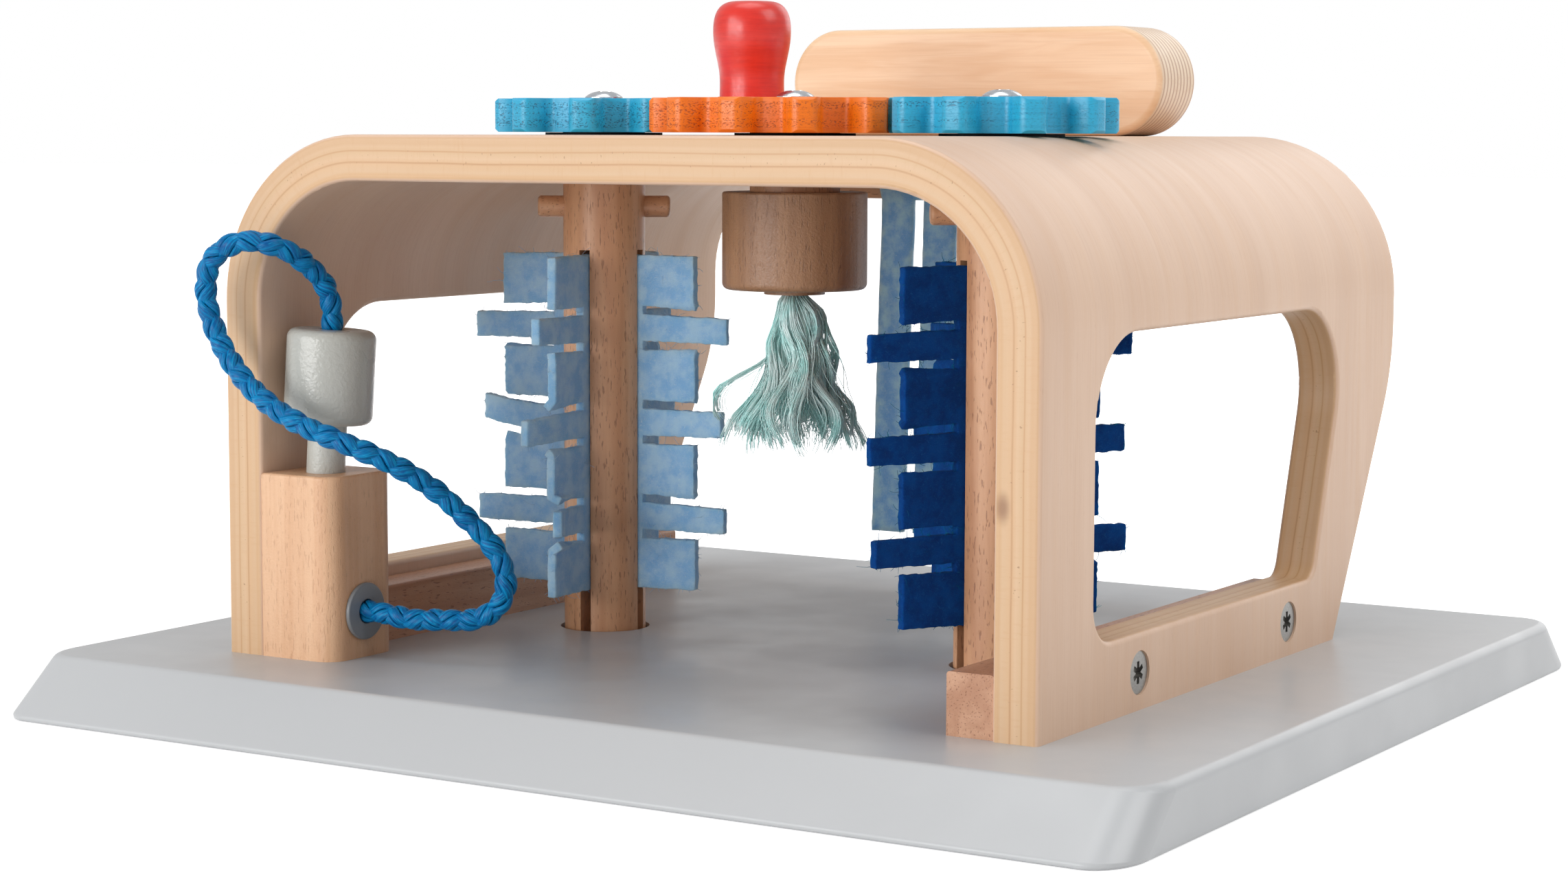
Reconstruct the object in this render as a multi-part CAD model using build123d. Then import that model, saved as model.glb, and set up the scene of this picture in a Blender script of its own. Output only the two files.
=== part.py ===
from build123d import *
import math
import os

os.makedirs("parts", exist_ok=True)

# The toy stands on the XY plane: X across the arch, Y from its front to its back, Z up, and the origin under
# the middle of the board. Lengths are millimetres and angles are degrees. A depth runs back from the arch's
# front edge and a height runs up from the board's top.

# Base board
board_width = 200.0
board_depth = 190.4  # before its sharp front and back edges are rounded
board_thick = 9.3
board_ramp = 10.85  # how far the front and back edges slope in
board_corner = 6.0
board_top_round = 1.6
board_bottom_round = 0.6

# Plywood arch
arch_set_back = 28.55  # from the board's front edge to the arch's front edge
arch_width = 148.5
arch_height = 84.7
arch_ply = 7.3
arch_bend = 27.0  # outer radius of the two bends
arch_foot_depth = 110.6
arch_roof_depth = 136.2
arch_rear_slope = 29.7  # of the side panel's rear edge, off the vertical
arch_rear_round = 31.0
arch_edge_round = 0.8

# Side windows
window_front = 17.8
window_low = 11.6
window_below_roof = 28.3  # of its top edge under the arch's top
window_foot_rear = 100.8  # depth of the rear edge at the sill
window_rear_slope = 17.7
window_top_round = 13.8
window_front_round = 6.0
window_rear_round = 3.5

# Battens along the feet of the side panels
batten_width = 7.6
batten_height = 9.3
batten_inset = 0.75  # of each end from the panel's edge or the pump block
batten_edge_round = 0.5

# Wood screws
side_screw_depths = (33.3, 90.3)
side_screw_height = 5.6
side_head = 6.5
side_head_deep = 2.2
side_shank = 3.0
side_screw_long = 13.5
side_head_sunk = 0.3
side_drive_span = 3.4
side_drive_width = 0.8
side_drive_deep = 0.9
base_head = 6.0
base_head_deep = 2.0
base_shank = 2.8
base_screw_long = 15.0
base_head_sunk = 0.3
cross_span = 3.2
cross_width = 0.8
cross_deep = 0.8

# Gears
gear_module = 3.648
drive_teeth = 12
side_teeth = 9
gear_pressure = 20.0
gear_tip_height = 2.1
gear_root_depth = 2.8
gear_tooth_play = 0.53  # taken off each tooth's width at the pitch circle
gear_tip_round = 1.6
gear_root_round = 1.3
gear_thick = 5.65
gear_rim_bevel = 0.5
gear_depth = 56.2  # of the row of gear axes
mesh_turn = -10.0  # of the drive gear's tooth gap from the line through the axes
washer_thick = 0.4
washer_wide = 20.0

# Gear screws
gear_head = 6.4
gear_head_tall = 1.2
gear_shank = 2.8
gear_screw_clear = 1.0  # of its tip over a post's cross peg

# Turning handle
knob_reach = 14.45  # from the drive gear's axis
knob_turn = 151.7
knob_tall = 16.3
knob_neck = 10.9
knob_belly = 13.1
knob_belly_height = 11.4
knob_crown = 5.4
knob_spigot = 5.0
knob_spigot_long = 4.0

# Brush posts and their cross pegs
post_dia = 14.0
post_foot_deep = 4.2  # below the board's top
post_foot_play = 0.7
slot_width = 2.0
slot_below_ceiling = 12.2
peg_dia = 3.7
peg_long = 22.6
peg_below_ceiling = 4.9
peg_turn = 35.0
peg_end_round = 0.6

# Felt brushes
felt_play = 0.2  # each side of the felt in its slot
felt_low = 7.1
felt_below_slot = 0.8  # of the felt's top under the slot's end
felt_spine = 8.7
wide_tab_reach = 18.7
narrow_tab_reach = 24.0
narrow_tab_tall = 4.6
tab_gap_tall = 1.45
tab_pairs = 3  # narrow tabs, with a wide tab above each and one more below
felt_mid_gap = 0.3
left_felt_turn = 6.0
right_felt_turn = 61.0

# Mop
mop_shaft_dia = 14.9
drum_dia = 24.0
drum_tall = 16.1
drum_below_ceiling = 1.9  # the shaft's neck that shows
drum_bore_deep = 9.0
drum_top_round = 0.4
drum_low_round = 1.1
collar_dia = 10.1
collar_tall = 0.8
yarn_tall = 26.6
yarn_top_wide = 5.0
yarn_low_wide = 27.2

# Roof board
roof_board_long = 75.6
roof_board_tall = 19.4
roof_board_thick = 14.8
roof_board_front = 117.0
roof_board_round = 1.3
roof_screw_apart = 40.0
roof_screw_long = 22.0

# Curtain
lath_long = 62.0
lath_deep = 8.0
lath_tall = 4.4
lath_front = 121.0
lath_edge_round = 0.4
curtain_felt = 1.0
strip_count = 5
strip_wide = 6.6
strip_gap = 2.3
strip_low = 10.8
strip_axis_below = 1.0  # the strips' swing axis under the lath
strip_play = 0.3

# Pump
block_wide = 14.6
block_deep = 16.5
block_tall = 30.0
block_corner = 3.5
block_edge_round = 0.5
nozzle_from_panel = 7.75
nozzle_depth = 6.9
nozzle_lean = 3.2
nozzle_lean_turn = 31.6  # of the way it leans, from straight right towards the back
nozzle_peg_dia = 6.3
nozzle_peg_sunk = 9.0
nozzle_peg_seen = 8.0
nozzle_peg_glued = 8.0
nozzle_dia = 14.4
nozzle_tall = 15.3
nozzle_edge_round = 1.5
grommet_dia = 9.3
grommet_proud = 0.8
grommet_spigot = 6.0
grommet_spigot_long = 5.0
grommet_depth = 7.8
grommet_height = 7.6
grommet_edge_round = 0.3

# Rope: its route from the nozzle's top to the grommet, as places across, depths and heights, between a
# straight exit at each end
rope_dia = 3.4
rope_exit = 5.0  # straight out of the nozzle
rope_arrival = 4.0  # straight into the grommet
rope_route = [
    (-58.8, 4.0, 63.2),
    (-59.6, -2.4, 66.8),
    (-64.2, -6.4, 68.2),
    (-69.8, -7.8, 65.6),
    (-72.6, -6.8, 59.8),
    (-71.0, -6.0, 52.8),
    (-66.2, -6.2, 46.6),
    (-59.8, -6.6, 42.0),
    (-52.6, -6.4, 38.8),
    (-45.8, -4.6, 36.4),
    (-40.4, -0.2, 33.4),
    (-36.2, 5.0, 29.4),
    (-31.8, 8.8, 24.0),
    (-27.6, 10.8, 19.2),
    (-25.8, 11.6, 13.8),
    (-27.8, 11.4, 9.2),
    (-32.4, 10.4, 7.2),
    (-37.8, 9.2, 7.2),
    (-43.0, 8.2, 6.8),
]

# Fits
turning_fit = 0.06  # radial, shafts that turn or slide in their bores
glued_fit = 0.05  # radial, pieces glued or screwed into bores
screw_fit = 0.1
bore_end_gap = 0.3  # under the end of a dowel or screw
overrun = 1.0  # how far a cutting tool passes the face that it opens

# Worked out from the sizes above
arch_front = arch_set_back - board_depth / 2
arch_half = arch_width / 2
panel_inside = arch_half - arch_ply
ceiling = arch_height - arch_ply
window_top = arch_height - window_below_roof
peg_height = ceiling - peg_below_ceiling
slot_top = ceiling - slot_below_ceiling
felt_top = slot_top - felt_below_slot
wide_tab_tall = (felt_top - felt_low - tab_pairs * (narrow_tab_tall + 2 * tab_gap_tall)) / (tab_pairs + 1)
drum_top = ceiling - drum_below_ceiling
drum_low = drum_top - drum_tall
shaft_apart = gear_module * (drive_teeth + side_teeth) / 2
felt_thick = slot_width - 2 * felt_play
gear_low = arch_height + washer_thick + glued_fit
gear_screw_long = gear_low + gear_thick - peg_height - peg_dia / 2 - gear_screw_clear
post_radius = post_dia / 2
peg_radius = peg_dia / 2
bore_radius = {
    "post": post_radius + turning_fit,
    "mop": mop_shaft_dia / 2 + turning_fit,
    "nozzle": nozzle_peg_dia / 2 + turning_fit,
}


def place(across, depth, height):
    """The point at a place across the toy, a depth behind the arch's front and a height over the board."""
    return Vector(across, arch_front + depth, board_thick + height)


def save(name, *solids):
    """Write one piece, or a group of like pieces, to its file."""
    shape = solids[0] if len(solids) == 1 else Compound(children=list(solids))
    shape.label = name
    export_step(shape, f"parts/{name}.step")


def turned(points):
    """The solid turned from a closed profile of radii and heights."""
    return revolve(Plane.XZ * make_face(Polyline(*points, close=True)), axis=Axis.Z)


def upright(radius, low, high):
    """A cylinder about Z between two levels."""
    return Pos(0, 0, low) * Cylinder(radius, high - low, align=(Align.CENTER, Align.CENTER, Align.MIN))


def brick(x_range, y_range, z_range):
    """A box between two limits on each axis."""
    size = [high - low for low, high in (x_range, y_range, z_range)]
    corner = [low for low, high in (x_range, y_range, z_range)]
    return Pos(*corner) * Box(*size, align=(Align.MIN, Align.MIN, Align.MIN))


def round_corner(face, corner, radius):
    """The face with its corner nearest to a point rounded."""
    vertex = face.vertices().sort_by_distance(corner)[0]
    return fillet(vertex, radius)


def across_section(points):
    """A flat face standing along the toy, from depths and heights."""
    outline = [(place(0, depth, height).Y, place(0, depth, height).Z) for depth, height in points]
    return Plane.YZ * make_face(Polyline(*outline, close=True))


# Screws: each is made with its head's top at the origin and its tip down the Z axis
def flat_screw(head, head_deep, shank, length, room=0.0):
    """A countersunk wood screw, or with room about it the hole that it sits in."""
    head_radius = head / 2 + room
    shank_radius = shank / 2 + room
    points = [
        (0, 0),
        (head_radius, 0),
        (shank_radius, -head_deep),
        (shank_radius, shank - length),
        (0, -length - room),
    ]
    return turned(points)


def recess(arms, span, width, deep):
    """The driver's recess: a star of crossing slots cut into the head's top."""
    slots = Part()
    for arm in range(arms):
        slot = Box(span, width, deep + overrun, align=(Align.CENTER, Align.CENTER, Align.MIN))
        slots += Rot(0, 0, arm * 180 / arms) * Pos(0, 0, -deep) * slot
    return slots


def sunk_hole(head, head_deep, shank, length, sunk):
    """The hole for a countersunk screw whose head lies below the surface."""
    hole = Pos(0, 0, -sunk) * flat_screw(head, head_deep, shank, length, screw_fit)
    return hole + upright(head / 2 + screw_fit, -sunk, overrun)


def side_screw_planes():
    """Where the side screws go, each plane facing out of its panel."""
    planes = []
    for side in (-1, 1):
        for depth in side_screw_depths:
            planes.append(Plane(place(side * arch_half, depth, side_screw_height), z_dir=(side, 0, 0)))
    return planes


def base_screw_planes():
    """Where the screws go up from under the board: two to a batten and one to the pump block."""
    across = panel_inside - batten_width / 2
    between = sum(side_screw_depths) / 2
    batten_depths = (between - base_spread, between + base_spread)
    places = [(side * across, depth) for side in (-1, 1) for depth in batten_depths]
    places.append((block_wide / 2 - panel_inside, block_deep / 2))
    return [Plane(Vector(x, arch_front + depth, 0), x_dir=(1, 0, 0), z_dir=(0, 0, -1)) for x, depth in places]


def roof_screw_planes():
    """Where the two screws go up through the lath and the roof into the roof board."""
    depth = roof_board_front + roof_board_thick / 2
    low = ceiling - lath_tall
    sides = (-roof_screw_apart / 2, roof_screw_apart / 2)
    return [Plane(place(x, depth, low), x_dir=(1, 0, 0), z_dir=(0, 0, -1)) for x in sides]


# The screws into a batten from below stand this far each side of the middle between its side screws
base_spread = (side_screw_depths[1] - side_screw_depths[0]) / 2 - side_head

side_screw_sizes = (side_head, side_head_deep, side_shank, side_screw_long)
base_screw_sizes = (base_head, base_head_deep, base_shank, base_screw_long)
roof_screw_sizes = (base_head, base_head_deep, base_shank, roof_screw_long)
side_holes = [plane * sunk_hole(*side_screw_sizes, side_head_sunk) for plane in side_screw_planes()]
base_holes = [plane * sunk_hole(*base_screw_sizes, base_head_sunk) for plane in base_screw_planes()]
roof_holes = [plane * sunk_hole(*roof_screw_sizes, base_head_sunk) for plane in roof_screw_planes()]


def make_screws():
    """The side screws, the screws under the board and the screws up into the roof board."""
    star = recess(3, side_drive_span, side_drive_width, side_drive_deep)
    side_screw = Pos(0, 0, -side_head_sunk) * (flat_screw(*side_screw_sizes) - star)
    save("side_screws", *[plane * side_screw for plane in side_screw_planes()])
    cross = recess(2, cross_span, cross_width, cross_deep)
    base_screw = Pos(0, 0, -base_head_sunk) * (flat_screw(*base_screw_sizes) - cross)
    save("board_screws", *[plane * base_screw for plane in base_screw_planes()])
    roof_screw = Pos(0, 0, -base_head_sunk) * (flat_screw(*roof_screw_sizes) - cross)
    save("roof_board_screws", *[plane * roof_screw for plane in roof_screw_planes()])


# Base board with two sockets for the posts' feet
def make_board():
    half = board_depth / 2
    inner = half - board_ramp
    outline = Polyline((-half, 0), (half, 0), (inner, board_thick), (-inner, board_thick), close=True)
    board = extrude(Plane.YZ * make_face(outline), amount=board_width / 2, both=True)
    corners = [edge for edge in board.edges() if edge.bounding_box().size.Z > board_thick / 2]
    board = fillet(corners, board_corner)
    board = fillet(board.faces().sort_by(Axis.Z)[-1].edges(), board_top_round)
    board = fillet(board.faces().sort_by(Axis.Z)[0].edges(), board_bottom_round)
    for side in (-1, 1):
        socket = upright(post_radius + post_foot_play, -post_foot_deep - bore_end_gap, overrun)
        board -= Pos(place(side * shaft_apart, gear_depth, 0)) * socket
    for hole in base_holes:
        board -= hole
    save("base_board", board)


# Moulded plywood arch: two side panels, two bends and the roof from one strip
def arch_section(width, height, bend):
    """The shape inside one skin of the arch: square at its feet and round at its shoulders."""
    shape = Rectangle(width, height, align=(Align.CENTER, Align.MIN))
    shoulders = shape.vertices().sort_by(Axis.Y)[2:]
    return fillet(shoulders, bend)


def make_arch():
    skin = arch_section(arch_width, arch_height, arch_bend)
    skin -= arch_section(2 * panel_inside, ceiling, arch_bend - arch_ply)
    arch = extrude(Plane(place(0, 0, 0), x_dir=(1, 0, 0), z_dir=(0, -1, 0)) * skin, amount=-arch_roof_depth)
    run_out = arch_roof_depth - arch_foot_depth
    knee = run_out / math.tan(math.radians(arch_rear_slope))
    corners = [
        (0, 0),
        (arch_foot_depth, 0),
        (arch_roof_depth, knee),
        (arch_roof_depth, arch_height),
        (0, arch_height),
    ]
    side = round_corner(across_section(corners), place(0, arch_roof_depth, knee), arch_rear_round)
    arch &= extrude(side, amount=arch_half, both=True)
    lean = math.tan(math.radians(window_rear_slope))
    top_rear = window_foot_rear + lean * (window_top - window_low)
    corners = [
        (window_front, window_low),
        (window_foot_rear, window_low),
        (top_rear, window_top),
        (window_front, window_top),
    ]
    rounds = (window_front_round, window_rear_round, window_top_round, window_top_round)
    window = across_section(corners)
    for corner, radius in zip(corners, rounds):
        window = round_corner(window, place(0, *corner), radius)
    arch -= extrude(window, amount=arch_half + overrun, both=True)
    eased = [edge for edge in arch.edges() if edge.bounding_box().min.Z > board_thick + arch_edge_round]
    arch = fillet(eased, arch_edge_round)
    bores = {-shaft_apart: "post", 0: "mop", shaft_apart: "post"}
    for across, shaft in bores.items():
        bore = upright(bore_radius[shaft], ceiling - overrun, arch_height + overrun)
        arch -= Pos(place(across, gear_depth, 0)) * bore
    for hole in side_holes + roof_holes:
        arch -= hole
    save("arch_shell", arch)


def make_battens():
    """The battens fill the corners between the panels and the board, the left one behind the pump block."""
    rear = place(0, arch_foot_depth - batten_inset, 0).Y
    starts = {"left_batten": block_deep + batten_inset, "right_batten": batten_inset}
    for name, side in (("left_batten", -1), ("right_batten", 1)):
        across = sorted((side * panel_inside, side * (panel_inside - batten_width)))
        depths = (place(0, starts[name], 0).Y, rear)
        batten = brick(across, depths, (board_thick, board_thick + batten_height))
        ridge = batten.edges().filter_by(Axis.Y).sort_by(Axis.Z)[2:]
        batten = fillet(ridge, batten_edge_round)
        for hole in side_holes + base_holes:
            batten -= hole
        save(name, batten)


# Roof board: a plywood bar on edge with round ends
def make_roof_board():
    bar = SlotOverall(roof_board_long, roof_board_tall)
    front = place(0, roof_board_front, arch_height + roof_board_tall / 2)
    board = extrude(Plane(front, x_dir=(1, 0, 0), z_dir=(0, -1, 0)) * bar, amount=-roof_board_thick)
    board = fillet(board.edges().filter_by(Axis.Y, reverse=True), roof_board_round)
    for hole in roof_holes:
        board -= hole
    save("roof_board", board)


# Curtain: a lath under the rear of the roof, a felt band glued to its front, and strips that swing below it
strip_axis_height = ceiling - lath_tall - strip_axis_below
strip_axis_depth = lath_front - curtain_felt / 2


def make_curtain():
    lath_low = ceiling - lath_tall
    half = lath_long / 2
    depths = (place(0, lath_front, 0).Y, place(0, lath_front + lath_deep, 0).Y)
    lath = brick((-half, half), depths, (place(0, 0, lath_low).Z, place(0, 0, ceiling).Z))
    lath = fillet(lath.edges().filter_by(Axis.X).sort_by(Axis.Z)[:2], lath_edge_round)
    for hole in roof_holes:
        lath -= hole
    save("curtain_lath", lath)
    pitch = strip_wide + strip_gap
    band_half = (strip_count * pitch - strip_gap) / 2
    depths = (place(0, lath_front - curtain_felt, 0).Y, place(0, lath_front, 0).Y)
    band_low = strip_axis_height + curtain_felt / 2 + strip_play
    heights = (place(0, 0, band_low).Z, place(0, 0, ceiling - strip_play).Z)
    save("curtain_header", brick((-band_half, band_half), depths, heights))
    for number in range(strip_count):
        left = number * pitch - band_half
        heights = (place(0, 0, strip_low).Z, place(0, 0, strip_axis_height).Z)
        strip = brick((left, left + strip_wide), depths, heights)
        axis = Plane(place(left, strip_axis_depth, strip_axis_height), z_dir=(1, 0, 0))
        strip += axis * upright(curtain_felt / 2, 0, strip_wide)
        save(f"curtain_strip_{number + 1}", strip)


# Gears
def gear_face(teeth, tooth_turn):
    """A gear's outline with one tooth at the given angle: round-fitted involute flanks from root to tip."""
    pitch_radius = gear_module * teeth / 2
    base_radius = pitch_radius * math.cos(math.radians(gear_pressure))
    tip_radius = pitch_radius + gear_tip_height
    root_radius = pitch_radius - gear_root_depth
    pitch_half = (math.pi * gear_module / 2 - gear_tooth_play) / (2 * pitch_radius)

    def involute(radius):
        roll = math.acos(base_radius / radius)
        return math.tan(roll) - roll

    def half_angle(radius):
        return math.degrees(pitch_half + involute(pitch_radius) - involute(max(radius, base_radius)))

    def point(radius, turn):
        return (radius * math.cos(math.radians(turn)), radius * math.sin(math.radians(turn)))

    edges = []
    step = 360 / teeth
    middle_radius = (base_radius + tip_radius) / 2
    for tooth in range(teeth):
        centre = tooth_turn + tooth * step
        for side in (-1, 1):
            foot = point(root_radius, centre + side * half_angle(root_radius))
            start = point(base_radius, centre + side * half_angle(base_radius))
            middle = point(middle_radius, centre + side * half_angle(middle_radius))
            tip = point(tip_radius, centre + side * half_angle(tip_radius))
            edges.append(Line(foot, start))
            edges.append(ThreePointArc(start, middle, tip))
        edges.append(
            ThreePointArc(
                point(tip_radius, centre - half_angle(tip_radius)),
                point(tip_radius, centre),
                point(tip_radius, centre + half_angle(tip_radius)),
            )
        )
        edges.append(
            ThreePointArc(
                point(root_radius, centre + half_angle(root_radius)),
                point(root_radius, centre + step / 2),
                point(root_radius, centre + step - half_angle(root_radius)),
            )
        )
    face = make_face(edges)
    middle_radii = (tip_radius + base_radius) / 2
    tips = [corner for corner in face.vertices() if Vector(corner).length > middle_radii]
    face = fillet(tips, gear_tip_round)
    roots = [corner for corner in face.vertices() if Vector(corner).length < root_radius + glued_fit]
    return fillet(roots, gear_root_round)


def gear_blank(teeth):
    """The disc that a gear is cut from, bevelled at both rims."""
    tip_radius = gear_module * teeth / 2 + gear_tip_height
    face_radius = tip_radius - gear_rim_bevel
    points = [
        (0, 0),
        (face_radius, 0),
        (tip_radius, gear_rim_bevel),
        (tip_radius, gear_thick - gear_rim_bevel),
        (face_radius, gear_thick),
        (0, gear_thick),
    ]
    return turned(points)


def gear_plane(across):
    """The plane of a gear's underside, with its origin on the gear's axis."""
    return Plane(place(across, gear_depth, gear_low), x_dir=(1, 0, 0), z_dir=(0, 0, 1))


# Each gear's name, place, teeth and the angle of one tooth: a tooth of each side gear stands in a gap of the
# drive gear
side_turn = -mesh_turn * drive_teeth / side_teeth
gears = {
    "left": (-shaft_apart, side_teeth, side_turn),
    "drive": (0, drive_teeth, mesh_turn + 180 / drive_teeth),
    "right": (shaft_apart, side_teeth, 180 + side_turn),
}


def make_gears():
    """The three gears, the washers under them and the dome-head screws that hold them on their shafts."""
    washers = []
    head_radius = gear_head / 2
    dome = ThreePointArc(
        (head_radius, gear_head_tall / 4),
        (head_radius * 0.72, gear_head_tall * 0.76),
        (0, gear_head_tall),
    )
    shank_radius = gear_shank / 2
    shank = Polyline(
        (0, gear_head_tall),
        (0, -gear_screw_long),
        (shank_radius, gear_shank - gear_screw_long),
        (shank_radius, 0),
        (head_radius, 0),
        (head_radius, gear_head_tall / 4),
    )
    screw = revolve(Plane.XZ * make_face([dome, *shank.edges()]), axis=Axis.Z)
    screw -= Pos(0, 0, gear_head_tall) * recess(2, cross_span, cross_width, cross_deep)
    for name, (across, teeth, turn) in gears.items():
        plane = gear_plane(across)
        gear = extrude(gear_face(teeth, turn), amount=gear_thick) & gear_blank(teeth)
        gear -= upright(shank_radius + screw_fit, -overrun, gear_thick + overrun)
        if name == "drive":
            hole_low = gear_thick - knob_spigot_long - bore_end_gap
            hole = upright(knob_spigot / 2 + glued_fit, hole_low, gear_thick)
            gear -= Rot(0, 0, knob_turn) * Pos(knob_reach, 0, 0) * hole
        save(f"{name}_gear", plane * gear)
        save(f"{name}_gear_screw", plane * Pos(0, 0, gear_thick) * screw)
        shaft_bore = bore_radius["mop" if name == "drive" else "post"]
        washer = upright(washer_wide / 2, 0, washer_thick) - upright(shaft_bore, -overrun, overrun)
        washers.append(Pos(place(across, gear_depth, arch_height)) * washer)
    save("gear_washers", *washers)


def make_knob():
    """The handle: a turned neck that swells to a round crown, with a spigot glued into the gear."""
    neck = knob_neck / 2
    belly = knob_belly / 2
    crown = knob_crown / 2
    spigot = knob_spigot / 2
    flare = Spline(
        (neck, 0),
        (neck, knob_belly_height / 3),
        (belly, knob_belly_height),
        tangents=[(0, 1), (0, 1)],
    )
    top = Spline((belly, knob_belly_height), (crown, knob_tall), tangents=[(0, 1), (-1, 0)])
    rest = Polyline(
        (crown, knob_tall),
        (0, knob_tall),
        (0, -knob_spigot_long),
        (spigot, -knob_spigot_long),
        (spigot, 0),
        (neck, 0),
    )
    knob = revolve(Plane.XZ * make_face([flare, top, *rest.edges()]), axis=Axis.Z)
    offset = Rot(0, 0, knob_turn) * Pos(knob_reach, 0, gear_thick)
    save("drive_knob", gear_plane(0) * offset * knob)


# Brush posts: dowels saw-cut twice from the foot up, with a cross peg under the roof
def screw_pilot(top):
    """The hole for a gear screw down the middle of a shaft."""
    deep = gear_screw_long - gear_thick + bore_end_gap
    return upright(gear_shank / 2 + glued_fit, top - deep, top + overrun)


def felt_outline():
    """Half the outline of a felt sheet, from its foot up, as reaches from the axis and heights."""
    points = []
    level = felt_low
    for tab in range(2 * tab_pairs + 1):
        reach, tall = (narrow_tab_reach, narrow_tab_tall) if tab % 2 else (wide_tab_reach, wide_tab_tall)
        points += [(felt_spine, level), (reach, level), (reach, level + tall), (felt_spine, level + tall)]
        level += tall + tab_gap_tall
    return points


def make_brushes():
    half_felt = felt_outline()
    felt_middle = (felt_low + felt_top) / 2
    mirrored = [(-reach, height) for reach, height in reversed(half_felt)]
    outline = Polyline(*half_felt[1:-1], *mirrored[1:-1], close=True)
    sheet = extrude(Plane.XZ * make_face(outline), felt_thick / 2, both=True)
    slit = felt_thick / 2 + felt_play
    upper_half = (felt_middle - felt_mid_gap, felt_top + overrun)
    lower_half = (felt_low - overrun, felt_middle + felt_mid_gap)
    upper_slit = brick((-slit, slit), (-felt_thick, felt_thick), upper_half)
    lower_slit = brick((-slit, slit), (-felt_thick, felt_thick), lower_half)
    post = upright(post_radius, -post_foot_deep, gear_low)
    slot_half = slot_width / 2
    for turn in (0, 90):
        saw_cut = brick(
            (-post_dia, post_dia),
            (-slot_half, slot_half),
            (-post_foot_deep - overrun, slot_top),
        )
        post -= Rot(0, 0, turn) * saw_cut
    post -= screw_pilot(gear_low)
    peg_bore = Cylinder(peg_radius + glued_fit, post_dia + 2 * overrun, rotation=(0, 90, 0))
    peg = Cylinder(peg_radius, peg_long, rotation=(0, 90, 0))
    peg = fillet(peg.edges().filter_by(GeomType.CIRCLE), peg_end_round)
    sides = {"left": (-shaft_apart, left_felt_turn), "right": (shaft_apart, right_felt_turn)}
    for name, (across, turn) in sides.items():
        axis = Pos(place(across, gear_depth, 0))
        across_peg = Rot(0, 0, peg_turn) * Pos(0, 0, peg_height)
        save(f"{name}_brush_post", axis * (Rot(0, 0, turn) * post - across_peg * peg_bore))
        save(f"{name}_cross_peg", axis * across_peg * peg)
        save(f"{name}_felt_a", axis * Rot(0, 0, turn) * (sheet - upper_slit))
        save(f"{name}_felt_b", axis * Rot(0, 0, turn + 90) * (sheet - lower_slit))


# Mop: a shaft through the roof, a drum glued on it, and a tuft of yarn under a collar
def make_mop():
    axis = Pos(place(0, gear_depth, 0))
    shaft_low = drum_top - drum_bore_deep
    shaft = upright(mop_shaft_dia / 2, shaft_low, gear_low) - screw_pilot(gear_low)
    save("mop_shaft", axis * shaft)
    drum = upright(drum_dia / 2, drum_low, drum_top)
    drum = fillet(drum.edges().sort_by(Axis.Z)[-1], drum_top_round)
    drum = fillet(drum.edges().sort_by(Axis.Z)[0], drum_low_round)
    drum -= upright(mop_shaft_dia / 2 + glued_fit, shaft_low - bore_end_gap, drum_top + overrun)
    save("mop_drum", axis * drum)
    collar_low = drum_low - collar_tall
    save("mop_collar", axis * upright(collar_dia / 2, collar_low, drum_low))
    wide = yarn_low_wide / 2
    # Down the tuft, as shares of its height from the collar and of its widest radius
    tuft_shares = [(0.12, 0.22), (0.40, 0.58), (0.72, 0.88), (0.93, 1.0), (1.0, 0.86)]
    widening = [(wide * out, collar_low - yarn_tall * down) for down, out in tuft_shares]
    side = Spline((yarn_top_wide / 2, collar_low), *widening)
    foot = (wide * tuft_shares[-1][1], collar_low - yarn_tall)
    rest = Polyline(foot, (0, collar_low - yarn_tall), (0, collar_low), (yarn_top_wide / 2, collar_low))
    save("mop_yarn", axis * revolve(Plane.XZ * make_face([side, *rest.edges()]), axis=Axis.Z))


# Pump: the block, the nozzle on its peg, the grommet and the rope between them
lean_out = Vector(0, 0, 1).rotate(Axis.Y, nozzle_lean).rotate(Axis.Z, nozzle_lean_turn)
lean_side = Vector(1, 0, 0).rotate(Axis.Y, nozzle_lean).rotate(Axis.Z, nozzle_lean_turn)
nozzle_seat = Plane(
    place(nozzle_from_panel - panel_inside, nozzle_depth, block_tall),
    x_dir=lean_side,
    z_dir=lean_out,
)
grommet_seat = Plane(
    place(block_wide - panel_inside, grommet_depth, grommet_height),
    x_dir=(0, 1, 0),
    z_dir=(1, 0, 0),
)


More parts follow.
